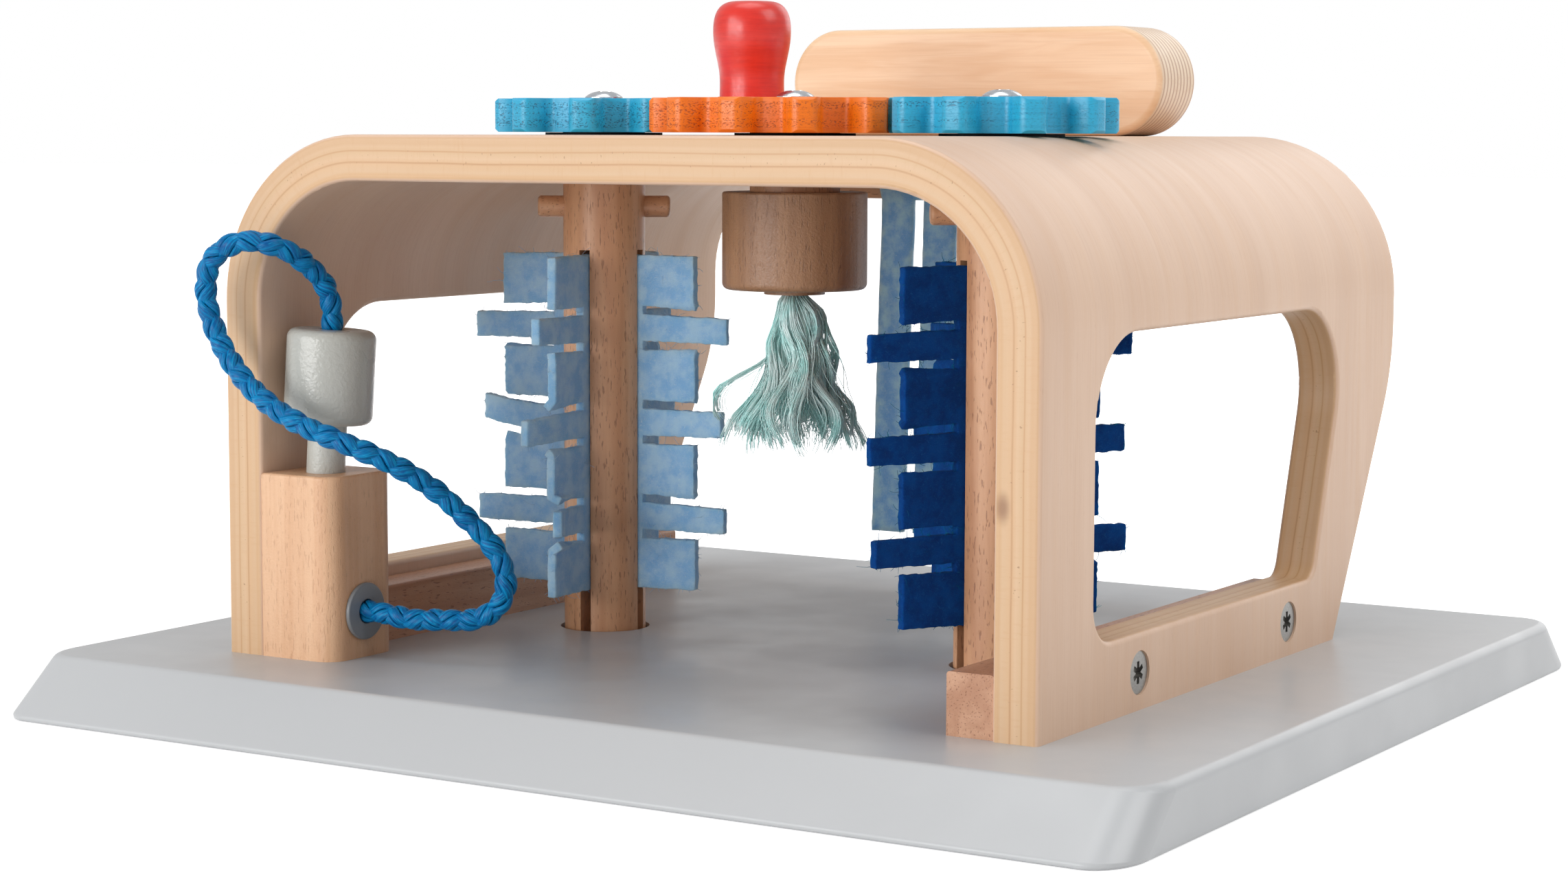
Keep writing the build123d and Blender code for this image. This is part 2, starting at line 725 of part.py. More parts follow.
def make_pump():
    depths = (place(0, 0, 0).Y, place(0, block_deep, 0).Y)
    heights = (board_thick, board_thick + block_tall)
    block = brick((-panel_inside, block_wide - panel_inside), depths, heights)
    block = fillet(block.edges().filter_by(Axis.Z).sort_by(Axis.X)[2:], block_corner)
    block = fillet(block.faces().sort_by(Axis.Z)[-1].edges(), block_edge_round)
    peg_bore_low = -nozzle_peg_sunk - bore_end_gap
    block -= nozzle_seat * upright(bore_radius["nozzle"], peg_bore_low, overrun + nozzle_peg_dia)
    spigot_bore_low = -grommet_spigot_long - bore_end_gap
    block -= grommet_seat * upright(grommet_spigot / 2 + glued_fit, spigot_bore_low, overrun)
    for hole in base_holes:
        block -= hole
    save("pump_block", block)
    nozzle_top = nozzle_peg_seen + nozzle_tall
    glued_top = nozzle_peg_seen + nozzle_peg_glued
    peg = upright(nozzle_peg_dia / 2, -nozzle_peg_sunk, glued_top)
    save("nozzle_peg", nozzle_seat * peg)
    nozzle = upright(nozzle_dia / 2, nozzle_peg_seen, nozzle_top)
    nozzle = fillet(nozzle.edges().filter_by(GeomType.CIRCLE), nozzle_edge_round)
    nozzle -= upright(nozzle_peg_dia / 2 + glued_fit, nozzle_peg_seen - overrun, glued_top + bore_end_gap)
    save("spray_nozzle", nozzle_seat * nozzle)
    disc = upright(grommet_dia / 2, 0, grommet_proud)
    disc = fillet(disc.edges().sort_by(Axis.Z)[-1], grommet_edge_round)
    grommet = disc + upright(grommet_spigot / 2, -grommet_spigot_long, 0)
    save("hose_grommet", grommet_seat * grommet)


def make_rope():
    """A tube of straight runs and tangent arcs along the route, square to the nozzle and to the grommet."""
    nozzle_top = nozzle_peg_seen + nozzle_tall
    start = nozzle_seat.from_local_coords(Vector(0, 0, nozzle_top))
    leave = nozzle_seat.from_local_coords(Vector(0, 0, nozzle_top + rope_exit))
    end = grommet_seat.from_local_coords(Vector(0, 0, grommet_proud))
    arrive = grommet_seat.from_local_coords(Vector(0, 0, grommet_proud + rope_arrival))
    points = [start, leave, *[place(*stop) for stop in rope_route], arrive, end]
    runs = [after - before for before, after in zip(points, points[1:])]
    radii = []
    for before, after in zip(runs, runs[1:]):
        half_turn = math.radians(before.get_angle(after)) / 2
        radii.append(0.45 * min(before.length, after.length) / math.tan(half_turn))
    path = FilletPolyline(*points, radius=radii)
    rope = sweep(Plane(start, z_dir=runs[0]) * Circle(rope_dia / 2), path=path)
    section = math.pi * rope_dia**2 / 4
    print("rope bend radii", [round(radius, 1) for radius in radii])
    print("rope runs", [round(run.length, 1) for run in runs])
    print("rope length", round(path.length, 1))
    print("rope volume over section times length", round(rope.volume / section / path.length, 4))
    save("hose_rope", rope)


make_screws()
make_board()
make_arch()
make_battens()
make_roof_board()
make_curtain()
make_gears()
make_knob()
make_brushes()
make_mop()
make_pump()
make_rope()
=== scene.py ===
import math
import random
import bmesh
import bpy
from mathutils import Matrix, Vector


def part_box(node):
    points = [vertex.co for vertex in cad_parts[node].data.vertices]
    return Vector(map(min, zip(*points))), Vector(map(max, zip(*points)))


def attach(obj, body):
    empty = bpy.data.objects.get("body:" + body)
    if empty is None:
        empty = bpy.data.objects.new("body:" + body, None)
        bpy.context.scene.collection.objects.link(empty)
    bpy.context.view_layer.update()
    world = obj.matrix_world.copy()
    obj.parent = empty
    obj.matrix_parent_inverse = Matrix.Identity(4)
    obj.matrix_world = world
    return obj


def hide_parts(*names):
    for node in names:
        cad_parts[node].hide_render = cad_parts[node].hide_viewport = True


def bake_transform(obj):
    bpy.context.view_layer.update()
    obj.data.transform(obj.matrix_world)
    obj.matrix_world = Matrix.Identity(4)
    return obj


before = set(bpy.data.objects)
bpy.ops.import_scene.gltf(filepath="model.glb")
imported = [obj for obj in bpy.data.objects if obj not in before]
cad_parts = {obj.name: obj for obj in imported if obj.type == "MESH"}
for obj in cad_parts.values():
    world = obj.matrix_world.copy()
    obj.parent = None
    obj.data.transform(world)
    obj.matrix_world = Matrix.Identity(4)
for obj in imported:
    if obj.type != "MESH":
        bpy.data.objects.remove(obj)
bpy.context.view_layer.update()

mm = 0.001

# Base board: a flat board with its front and back edges planed to ramps, sprayed with satin grey paint
# that fills the grain and leaves a faint orange peel. The arch is screwed on it from below.
board_grey = (190, 192, 194)


def shade(red, green, blue):
    """A colour as shaders take it, from its 0 to 255 on a screen."""
    shares = [value / 255 for value in (red, green, blue)]
    return (*[s / 12.92 if s <= 0.04045 else ((s + 0.055) / 1.055) ** 2.4 for s in shares], 1.0)


def add(tree, kind, sockets, **settings):
    """A node with its settings, and its sockets set to values or fed by other sockets."""
    made = tree.nodes.new("ShaderNode" + kind)
    for name, value in settings.items():
        setattr(made, name, value)
    for socket, value in sockets.items():
        if isinstance(value, bpy.types.NodeSocket):
            tree.links.new(value, made.inputs[socket])
        else:
            made.inputs[socket].default_value = value
    return made.outputs


def maths(tree, operation, *values):
    """One step of arithmetic with numbers or sockets."""
    return add(tree, "Math", dict(enumerate(values)), operation=operation)[0]


def noise(tree, places, scale, detail=2.0, roughness=0.5, distortion=0.0):
    """Soft noise from 0 to 1, its scale counted per millimetre."""
    shape = {"Scale": scale, "Detail": detail, "Roughness": roughness, "Distortion": distortion}
    return add(tree, "TexNoise", {"Vector": places, **shape})[0]


def between(tree, value, low, high, out_low=0.0, out_high=1.0):
    """The value's way from low to high, smooth and clamped."""
    sockets = {0: value, 1: low, 2: high, 3: out_low, 4: out_high}
    return add(tree, "MapRange", sockets, interpolation_type="SMOOTHSTEP")[0]


def mixed(tree, share, first, second, way="MIX"):
    """One colour laid over another by a share."""
    return add(tree, "Mix", {0: share, 6: first, 7: second}, data_type="RGBA", blend_type=way)[2]


def tinted(tree, tone, pattern, low, high, share, colour):
    """A tone with a colour laid over it, up to a share, where the pattern rises from low to high."""
    return mixed(tree, between(tree, pattern, low, high, 0.0, share), tone, shade(*colour))


def ramp(tree, value, stops):
    """Colours at places from 0 to 1."""
    made = tree.nodes.new("ShaderNodeValToRGB")
    tree.links.new(value, made.inputs[0])
    elements = made.color_ramp.elements
    elements.remove(elements[1])
    elements[0].position, elements[0].color = stops[0]
    for position, colour in stops[1:]:
        elements.new(position).color = colour
    return made.outputs[0]


def millimetres(tree, stretch=(1, 1, 1)):
    """The surface's place in millimetres, drawn out along the grain."""
    where = add(tree, "TexCoord", {})["Object"]
    return add(tree, "Mapping", {"Vector": where, "Scale": [share / mm for share in stretch]})[0]


def material(name, **constants):
    """A new material, its node tree and its shader, with the shader's steady values set."""
    made = bpy.data.materials.new(name)
    made.use_nodes = True
    shader = made.node_tree.nodes["Principled BSDF"]
    for socket, value in constants.items():
        shader.inputs[socket.replace("_", " ")].default_value = value
    return made, made.node_tree, shader


def surface(tree, shader, colour, roughness=None, height=None, depth=0.05, strength=0.5):
    """Feeds the shader its colour, roughness and relief; depth is the relief's in millimetres."""
    tree.links.new(colour, shader.inputs["Base Color"])
    if roughness is not None:
        tree.links.new(roughness, shader.inputs["Roughness"])
    if height is not None:
        bump = add(tree, "Bump", {"Height": height, "Distance": depth * mm, "Strength": strength})[0]
        tree.links.new(bump, shader.inputs["Normal"])


def dress(made, *nodes):
    """The CAD pieces keep their shapes and take this material."""
    for name in nodes:
        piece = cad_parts[name]
        if not piece.material_slots:
            piece.data.materials.append(made)
        for place in piece.material_slots:
            place.material = made


def paint(name, colour, gloss, peel, peel_depth):
    """Sprayed paint: one colour with a slow drift and a little dust, and an orange peel."""
    made, tree, shader = material(name)
    places = millimetres(tree)
    drift = noise(tree, places, 0.06, 3.0)
    dust = between(tree, noise(tree, places, 2.2, 2.0), 0.70, 0.80)
    base = shade(*colour)
    dark = [channel * 0.96 for channel in base[:3]] + [1.0]
    tone = mixed(tree, drift, base, dark)
    tone = mixed(tree, maths(tree, "MULTIPLY", dust, 0.06), tone, shade(120, 120, 118))
    rough = between(tree, drift, 0.3, 0.7, gloss - 0.05, gloss + 0.07)
    surface(tree, shader, tone, rough, noise(tree, places, peel, 2.0), peel_depth, 0.6)
    return made


board_paint = paint("board_grey_paint", board_grey, gloss=0.34, peel=1.2, peel_depth=0.008)
dress(board_paint, "base_board")

# Screws: zinc-plated countersunk screws hold the board, the side panels and the roof board, and bright
# dome heads hold the gears. They are driven with a star bit, and their heads are a little scratched.


def metal(name, colour, rough):
    """Plated steel, its tone and gloss broken up by fine scratches."""
    made, tree, shader = material(name, Metallic=1.0)
    places = millimetres(tree)
    scratch = noise(tree, places, 3.0, 4.0, 0.7)
    worn = shade(*[channel * 0.72 for channel in colour])
    tone = mixed(tree, scratch, shade(*colour), worn)
    surface(tree, shader, tone, between(tree, scratch, 0.3, 0.7, rough, rough + 0.15), scratch, 0.02, 0.3)
    return made


zinc = metal("zinc_plate", (188, 186, 182), 0.28)
chrome = metal("bright_plate", (222, 226, 232), 0.12)
dress(zinc, "board_screws", "side_screws", "roof_board_screws")
dress(chrome, "left_gear_screw", "drive_gear_screw", "right_gear_screw")

# Arch: birch veneers glued in a curved mould into one bent panel that makes both sides and the roof, then
# sawn to shape, its windows routed, its edges rounded and the whole lacquered. The plies show on every cut.
arch_low, arch_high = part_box("arch_shell")
arch_bend = 27.0
arch_ply = 7.3
birch_face = (226, 193, 167)
birch_face_dark = (218, 183, 156)
knot_spot = (68.4, arch_low.y / mm, arch_low.z / mm + 33.2)
knot_wide = 3.4


def round_the_arch(tree):
    """The place on the bent panel in millimetres: along the bend, back, and down through the plies."""
    apart = add(tree, "SeparateXYZ", {0: millimetres(tree)})
    flat_half = arch_high.x / mm - arch_bend
    past_side = maths(tree, "SUBTRACT", maths(tree, "ABSOLUTE", apart[0]), flat_half)
    past_top = maths(tree, "SUBTRACT", apart[2], arch_high.z / mm - arch_bend)
    out = maths(tree, "MAXIMUM", past_side, 0.0)
    up = maths(tree, "MAXIMUM", past_top, 0.0)
    squares = maths(tree, "ADD", maths(tree, "POWER", out, 2.0), maths(tree, "POWER", up, 2.0))
    down = maths(tree, "SUBTRACT", arch_bend, maths(tree, "SQRT", squares))
    turn = maths(tree, "MULTIPLY", maths(tree, "ARCTAN2", out, up), arch_bend - arch_ply / 2)
    on_roof = maths(tree, "MINIMUM", past_side, 0.0)
    flat = maths(tree, "SUBTRACT", on_roof, maths(tree, "MINIMUM", past_top, 0.0))
    half = maths(tree, "ADD", maths(tree, "ADD", turn, flat), flat_half)
    along = maths(tree, "MULTIPLY", half, maths(tree, "SIGN", apart[0]))
    return along, apart[1], down


def joined(tree, *parts):
    """One place from its three parts."""
    return add(tree, "CombineXYZ", dict(enumerate(parts)))[0]


def stretched(tree, places, *shares):
    """Places multiplied along each axis, which draws a pattern out where the share is small."""
    return add(tree, "VectorMath", {0: places, 1: shares}, operation="MULTIPLY")[0]


def drawn_noise(tree, places, shares, detail, roughness=0.5, distortion=0.0):
    """Noise with a scale of its own along each axis, counted per unit of the places."""
    return noise(tree, stretched(tree, places, *shares), 1.0, detail, roughness, distortion)


def birch_plywood(name):
    """An even pinkish face with a fine grain, and cream plies with two tan glue lines on every cut."""
    made, tree, shader = material(name, Coat_Weight=0.12, Coat_Roughness=0.35)
    along, back, down = round_the_arch(tree)
    places = joined(tree, along, back, down)
    figure = drawn_noise(tree, places, (0.012, 0.07, 0.1), 3.0, 0.5, 0.5)
    bands = drawn_noise(tree, places, (0.02, 0.5, 0.5), 3.0, 0.55, 0.3)
    lines = drawn_noise(tree, places, (0.06, 3.2, 3.2), 3.0, 0.6)
    flecks = drawn_noise(tree, places, (0.45, 5.0, 5.0), 2.0)
    face = mixed(tree, between(tree, figure, 0.30, 0.70), shade(*birch_face), shade(*birch_face_dark))
    face = tinted(tree, face, bands, 0.45, 0.80, 0.30, (222, 184, 150))
    face = tinted(tree, face, lines, 0.45, 0.75, 0.28, (206, 164, 132))
    face = tinted(tree, face, flecks, 0.64, 0.76, 0.30, (190, 146, 114))
    wobble = maths(tree, "MULTIPLY", drawn_noise(tree, places, (0.03, 0.03, 0.0), 2.0), 0.7)
    depth = maths(tree, "DIVIDE", maths(tree, "ADD", down, maths(tree, "SUBTRACT", wobble, 0.35)), arch_ply)
    plies = [
        (0.0, shade(210, 172, 133)),
        (0.20, shade(207, 168, 128)),
        (0.26, shade(212, 176, 138)),
        (0.33, shade(210, 173, 133)),
        (0.355, shade(196, 149, 105)),
        (0.38, shade(210, 174, 134)),
        (0.50, shade(216, 181, 144)),
        (0.575, shade(212, 173, 132)),
        (0.60, shade(190, 143, 99)),
        (0.635, shade(212, 173, 132)),
        (0.80, shade(212, 177, 139)),
        (0.86, shade(208, 167, 124)),
        (1.0, shade(216, 179, 140)),
    ]
    edge = ramp(tree, depth, plies)
    stripes = drawn_noise(tree, places, (0.01, 0.01, 0.55), 3.0, 0.6)
    edge = tinted(tree, edge, stripes, 0.42, 0.72, 0.35, (208, 166, 124))
    rungs = drawn_noise(tree, places, (1.9, 1.9, 0.25), 3.0, 0.65)
    edge = tinted(tree, edge, rungs, 0.50, 0.80, 0.40, (204, 160, 118))
    pits = between(tree, drawn_noise(tree, places, (2.6, 2.6, 1.4), 1.0), 0.71, 0.77)
    past_glue = between(tree, depth, 0.33, 0.36)
    middle_ply = maths(tree, "MULTIPLY", past_glue, between(tree, depth, 0.61, 0.65, 1.0, 0.0))
    open_pits = maths(tree, "MULTIPLY", maths(tree, "MULTIPLY", pits, middle_ply), 0.6)
    edge = mixed(tree, open_pits, edge, shade(140, 94, 58))
    off_knot = add(tree, "VectorMath", {0: millimetres(tree), 1: knot_spot}, operation="SUBTRACT")[0]
    off_knot = stretched(tree, off_knot, 1.0, 0.3, 0.55)
    knot_way = add(tree, "VectorMath", {0: off_knot}, operation="LENGTH")[1]
    knot = between(tree, knot_way, 0.2, knot_wide / 2, 0.75, 0.0)
    edge = mixed(tree, knot, edge, shade(138, 92, 60))
    outer = between(tree, down, 0.25, 0.60)
    inner = between(tree, down, arch_ply - 0.60, arch_ply - 0.25, 1.0, 0.0)
    cut = maths(tree, "MULTIPLY", outer, inner)
    relief = maths(tree, "ADD", maths(tree, "MULTIPLY", lines, 0.5), maths(tree, "MULTIPLY", pits, -0.6))
    rough = between(tree, bands, 0.3, 0.7, 0.42, 0.52)
    surface(tree, shader, mixed(tree, cut, face, edge), rough, relief, 0.03, 0.4)
    return made


arch_birch = birch_plywood("bent_birch_plywood")
dress(arch_birch, "arch_shell")

# Battens, pump block, posts, pegs, mop shaft and drum: beech, sawn or turned along its grain and lacquered.
# Short dark pores run with the grain, and the battens' fronts show end grain.
beech_light = (222, 172, 132)
beech_dark = (196, 140, 102)
pore_brown = (126, 78, 52)
batten_light = (206, 158, 126)
batten_dark = (182, 130, 98)
block_light = (230, 186, 148)
block_dark = (216, 166, 126)
block_pore = (164, 112, 80)
# The drum's beech tones are darker than the posts': this darkening is painted shade for where it stands
# under the roof.
drum_light = (170, 129, 96)
drum_dark = (144, 104, 74)
drum_pore = (104, 70, 48)


def solid_wood(name, light, dark, pores, along, pore_share=0.6, speckle=0.5):
    """Wood whose grain runs along X, Y or Z, numbered 0 to 2."""
    made, tree, shader = material(name, Coat_Weight=0.12, Coat_Roughness=0.3)
    slow, fine, short = [1.0] * 3, [1.0] * 3, [1.0] * 3
    slow[along], fine[along], short[along] = 0.05, 0.05, 0.16
    bands = noise(tree, millimetres(tree, slow), 0.22, 3.0, 0.6, 0.4)
    streaks = noise(tree, millimetres(tree, fine), 1.6, 4.0, 0.65)
    dashes = noise(tree, millimetres(tree, short), 3.4, 2.0, 0.5)
    grit = noise(tree, millimetres(tree), 2.6, 2.0, 0.6)
    tone = mixed(tree, between(tree, bands, 0.3, 0.7), shade(*light), shade(*dark))
    tone = tinted(tree, tone, streaks, 0.42, 0.74, 0.45, dark)
    pore = between(tree, dashes, 0.60, 0.68)
    tone = mixed(tree, maths(tree, "MULTIPLY", pore, pore_share), tone, shade(*pores))
    relief = maths(tree, "SUBTRACT", maths(tree, "MULTIPLY", grit, speckle), pore)
    rough = between(tree, grit, 0.3, 0.7, 0.36, 0.50)
    surface(tree, shader, tone, rough, relief, 0.05, 0.6)
    return made


beech_upright = solid_wood("beech_upright", beech_light, beech_dark, pore_brown, 2)
beech_lengthwise = solid_wood("beech_lengthwise", batten_light, batten_dark, pore_brown, 1)
beech_across = solid_wood("beech_across", beech_light, beech_dark, pore_brown, 0)
block_wood = solid_wood("block_wood", block_light, block_dark, block_pore, 2, 0.28, 1.8)
drum_wood_painted_shade = solid_wood("drum_wood_painted_shade", drum_light, drum_dark, drum_pore, 2, 0.5, 3.2)
dress(beech_lengthwise, "left_batten", "right_batten")
dress(block_wood, "pump_block")
dress(beech_upright, "left_brush_post", "right_brush_post", "mop_shaft")
dress(beech_across, "left_cross_peg", "right_cross_peg", "curtain_lath")
dress(drum_wood_painted_shade, "mop_drum", "mop_collar")

# Roof board: a thick birch plywood bar on edge, its ends round, screwed up from under the roof.
# Its front and back are veneer with a level grain, and its rim shows the dark glue lines.
bar_low, bar_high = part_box("roof_board")
bar_plies = 11


def bar_plywood(name):
    """Veneer on the front and back, and level pale plies between dark glue lines on the rim."""
    made, tree, shader = material(name, Coat_Weight=0.15, Coat_Roughness=0.3)
    places = millimetres(tree)
    apart = add(tree, "SeparateXYZ", {0: places})
    thick = (bar_high.y - bar_low.y) / mm
    depth = maths(tree, "SUBTRACT", apart[1], bar_low.y / mm)
    figure = drawn_noise(tree, places, (0.03, 0.2, 0.3), 3.0, 0.6, 0.8)
    lines = drawn_noise(tree, places, (0.06, 2.0, 3.0), 3.0, 0.6)
    face = mixed(tree, between(tree, figure, 0.3, 0.7), shade(243, 206, 168), shade(234, 190, 148))
    face = tinted(tree, face, lines, 0.45, 0.75, 0.35, (222, 176, 134))
    share = maths(tree, "FRACT", maths(tree, "MULTIPLY", depth, bar_plies / thick))
    ply = ramp(
        tree,
        share,
        [
            (0.0, shade(176, 134, 104)),
            (0.16, shade(206, 170, 140)),
            (0.30, shade(236, 214, 188)),
            (0.75, shade(240, 218, 192)),
            (0.92, shade(208, 172, 142)),
            (1.0, shade(176, 134, 104)),
        ],
    )
    rungs = drawn_noise(tree, places, (1.2, 0.5, 1.2), 3.0, 0.6)
    ply = tinted(tree, ply, rungs, 0.48, 0.76, 0.4, (214, 178, 144))
    front = between(tree, depth, 0.5, 1.0)
    rear = between(tree, depth, thick - 1.0, thick - 0.5, 1.0, 0.0)
    tone = mixed(tree, maths(tree, "MULTIPLY", front, rear), face, ply)
    surface(tree, shader, tone, between(tree, figure, 0.3, 0.7, 0.40, 0.50), lines, 0.03, 0.4)
    return made


dress(bar_plywood("bar_plywood"), "roof_board")

# Gears: sawn from thin plywood, stained through and lacquered, with soft rims. The left and right ones are
# blue, and the middle one, which the handle turns, is orange. Each is screwed on its shaft over a washer.
gear_blue = (40, 172, 214)
gear_blue_grain = (22, 130, 176)
gear_orange = (240, 122, 14)
gear_orange_grain = (214, 92, 2)
rim_round = 0.7
pitless_foot = 0.45
pitless_rim = 0.5
gear_low, gear_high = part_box("drive_gear")
pitted_low = gear_low.z / mm + pitless_foot
pitted_high = gear_high.z / mm - pitless_rim


def stained_ply(name, colour, grain):
    """Stained plywood: fine dark pits in level rows on the cut edge, and a drawn-out grain on the faces."""
    made, tree, shader = material(name, Coat_Weight=0.10, Coat_Roughness=0.3)
    places = millimetres(tree)
    apart = add(tree, "SeparateXYZ", {0: places})
    light = shade(*colour)
    dark = shade(*grain)
    level = drawn_noise(tree, places, (0.10, 0.10, 2.6), 3.0, 0.6)
    drawn = drawn_noise(tree, places, (0.08, 1.6, 1.6), 3.0, 0.6)
    tone = mixed(tree, between(tree, level, 0.45, 0.8, 0.0, 0.5), light, dark)
    tone = mixed(tree, between(tree, drawn, 0.5, 0.8, 0.0, 0.25), tone, dark)
    specks = drawn_noise(tree, places, (2.4, 2.4, 5.0), 2.0, 0.5)
    rows = drawn_noise(tree, places, (0.02, 0.02, 1.3), 1.0)
    in_rows = between(tree, rows, 0.40, 0.58, 0.3, 1.0)
    speck = maths(tree, "MULTIPLY", between(tree, specks, 0.52, 0.64), in_rows)
    over_foot = between(tree, apart[2], pitted_low, pitted_low + 0.5)
    under_rim = between(tree, apart[2], pitted_high - 0.4, pitted_high, 1.0, 0.0)
    speck = maths(tree, "MULTIPLY", speck, maths(tree, "MULTIPLY", over_foot, under_rim))
    pit = [channel * 0.45 for channel in dark[:3]] + [1.0]
    tone = mixed(tree, maths(tree, "MULTIPLY", speck, 0.8), tone, pit)
    relief = maths(tree, "SUBTRACT", maths(tree, "MULTIPLY", level, 0.3), speck)
    surface(tree, shader, tone, between(tree, level, 0.3, 0.7, 0.34, 0.46), relief, 0.07, 0.6)
    return made


def placed(name, data):
    """A new object of this data, in the scene, not yet selected."""
    made = bpy.data.objects.new(name, data)
    bpy.context.collection.objects.link(made)
    return made


def pick(made):
    """Selects this object alone and makes it the active one."""
    bpy.ops.object.select_all(action="DESELECT")
    bpy.context.view_layer.objects.active = made
    made.select_set(True)


def soft_rimmed(node, name):
    """A copy of a CAD piece with its faces joined up and its sharp edges rounded."""
    made = placed(name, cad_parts[node].data.copy())
    pick(made)
    bpy.ops.object.mode_set(mode="EDIT")
    bpy.ops.mesh.select_all(action="SELECT")
    bpy.ops.mesh.remove_doubles(threshold=0.002 * mm)
    bpy.ops.mesh.dissolve_limited(angle_limit=math.radians(2))
    bpy.ops.object.mode_set(mode="OBJECT")
    rounding = made.modifiers.new("rim", "BEVEL")
    rounding.limit_method = "ANGLE"
    rounding.angle_limit = math.radians(40)
    rounding.width = rim_round * mm
    rounding.segments = 4
    rounding.use_clamp_overlap = True
    bpy.ops.object.modifier_apply(modifier="rim")
    bpy.ops.object.shade_smooth_by_angle(angle=math.radians(40))
    return made


blue_stain = stained_ply("blue_stain", gear_blue, gear_blue_grain)
orange_stain = stained_ply("orange_stain", gear_orange, gear_orange_grain)
gears = (
    ("left_gear", "left_brush", blue_stain, "blue_paint"),
    ("drive_gear", "mop_turner", orange_stain, "orange_paint"),
    ("right_gear", "right_brush", blue_stain, "blue_paint"),
)
for node, body, made_of, slot in gears:
    gear = soft_rimmed(node, f"{node}_rounded")
    gear.data.materials.clear()
    gear.data.materials.append(made_of)
    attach(gear, body)
    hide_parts(node)


def pressed_fibre(name):
    """Black fibre board with a dull grit."""
    made, tree, shader = material(name, Roughness=0.7)
    grit = noise(tree, millimetres(tree), 4.0, 3.0)
    surface(tree, shader, mixed(tree, grit, shade(30, 30, 32), shade(52, 52, 54)), None, grit, 0.05)
    return made


dress(pressed_fibre("black_fibre"), "gear_washers")

# Handle: turned from hardwood, dipped in red paint, its spigot glued into the orange gear.
# The paint is glossy, with faint rings from the lathe.
handle_red = (222, 46, 32)
handle_red_dark = (210, 38, 28)


def dipped_paint(name, light, dark):
    """Glossy paint over turned wood: level rings, and a slight orange peel."""
    made, tree, shader = material(name, Coat_Weight=0.15, Coat_Roughness=0.2)
    rings = noise(tree, millimetres(tree, (0.1, 0.1, 1.0)), 1.6, 3.0, 0.6)
    peel = noise(tree, millimetres(tree), 1.4, 2.0)
    tone = mixed(tree, between(tree, rings, 0.35, 0.7), shade(*light), shade(*dark))
    rough = between(tree, peel, 0.3, 0.7, 0.28, 0.38)
    surface(tree, shader, tone, rough, maths(tree, "ADD", peel, rings), 0.025, 0.5)
    return made


dress(dipped_paint("red_paint", handle_red, handle_red_dark), "drive_knob")

# Nozzle and grommet: turned wood in thick grey paint, on the nozzle with a strong orange peel. The nozzle's
# peg plugs into the pump block, and the rope is glued into a hole in its top and one in the grommet.
nozzle_grey = (188, 188, 181)
grommet_dark_grey = (132, 135, 138)
nozzle_wide = 14.4
nozzle_across = 7.75
nozzle_back = 6.9
nozzle_lean = math.radians(3.2)
nozzle_lean_turn = math.radians(31.6)
nozzle_seat_high = 8.0
nozzle_tall = 15.3
nozzle_round = 1.5
rope_thick = 3.4
rope_hole = 4.0
rope_hole_deep = 2.4
grommet_wide = 9.3
grommet_proud = 0.8
grommet_round = 0.3

block_low, block_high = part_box("pump_block")
seat = Vector((block_low.x + nozzle_across * mm, block_low.y + nozzle_back * mm, block_high.z))
nozzle_stand = (
    Matrix.Translation(seat)
    @ Matrix.Rotation(nozzle_lean_turn, 4, "Z")
    @ Matrix.Rotation(nozzle_lean, 4, "Y")
    @ Matrix.Scale(mm, 4)
)
grommet_low, grommet_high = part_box("hose_grommet")
grommet_middle = (grommet_low + grommet_high) / 2
grommet_stand = (
    Matrix.Translation((block_high.x, grommet_middle.y, grommet_middle.z))
    @ Matrix.Rotation(math.radians(90), 4, "Y")
    @ Matrix.Scale(mm, 4)
)


def drilled_plug(name, stand, wide, low, high, rim, hole, hole_deep):
    """A short cylinder with rounded rims and a hole in its top, made in millimetres and stood in place."""
    bpy.ops.object.select_all(action="DESELECT")
    middle = (0, 0, (low + high) / 2)
    bpy.ops.mesh.primitive_cylinder_add(vertices=96, radius=wide / 2, depth=high - low, location=middle)
    made = bpy.context.active_object
    made.name = name
    bpy.ops.object.transform_apply(location=True, rotation=False, scale=False)
    bpy.ops.object.mode_set(mode="EDIT")
    bpy.ops.mesh.select_mode(type="FACE")
    shape = bmesh.from_edit_mesh(made.data)
    for face in shape.faces:
        face.select = face.normal.z > 0.9
    bmesh.update_edit_mesh(made.data)
    bpy.ops.mesh.inset(thickness=(wide - hole) / 2)
    bpy.ops.mesh.extrude_region_move(TRANSFORM_OT_translate={"value": (0, 0, -hole_deep)})
    bpy.ops.mesh.select_mode(type="EDGE")
    for reach, size in ((wide / 2, rim), (hole / 2, rim / 4)):
        bpy.ops.mesh.select_all(action="DESELECT")
        shape = bmesh.from_edit_mesh(made.data)
        for edge in shape.edges:
            ends = [vertex.co for vertex in edge.verts]
            level = abs(ends[0].z - ends[1].z) < 0.01
            outside = all(abs(end.xy.length - reach) < 0.05 for end in ends)
            edge.select = level and outside and ends[0].z > low + 0.01 - (reach == wide / 2)
        bmesh.update_edit_mesh(made.data)
        bpy.ops.mesh.bevel(offset=size, segments=6, affect="EDGES")
    bpy.ops.object.mode_set(mode="OBJECT")
    made.data.transform(stand)
    bpy.ops.object.shade_smooth_by_angle(angle=math.radians(35))
    return made


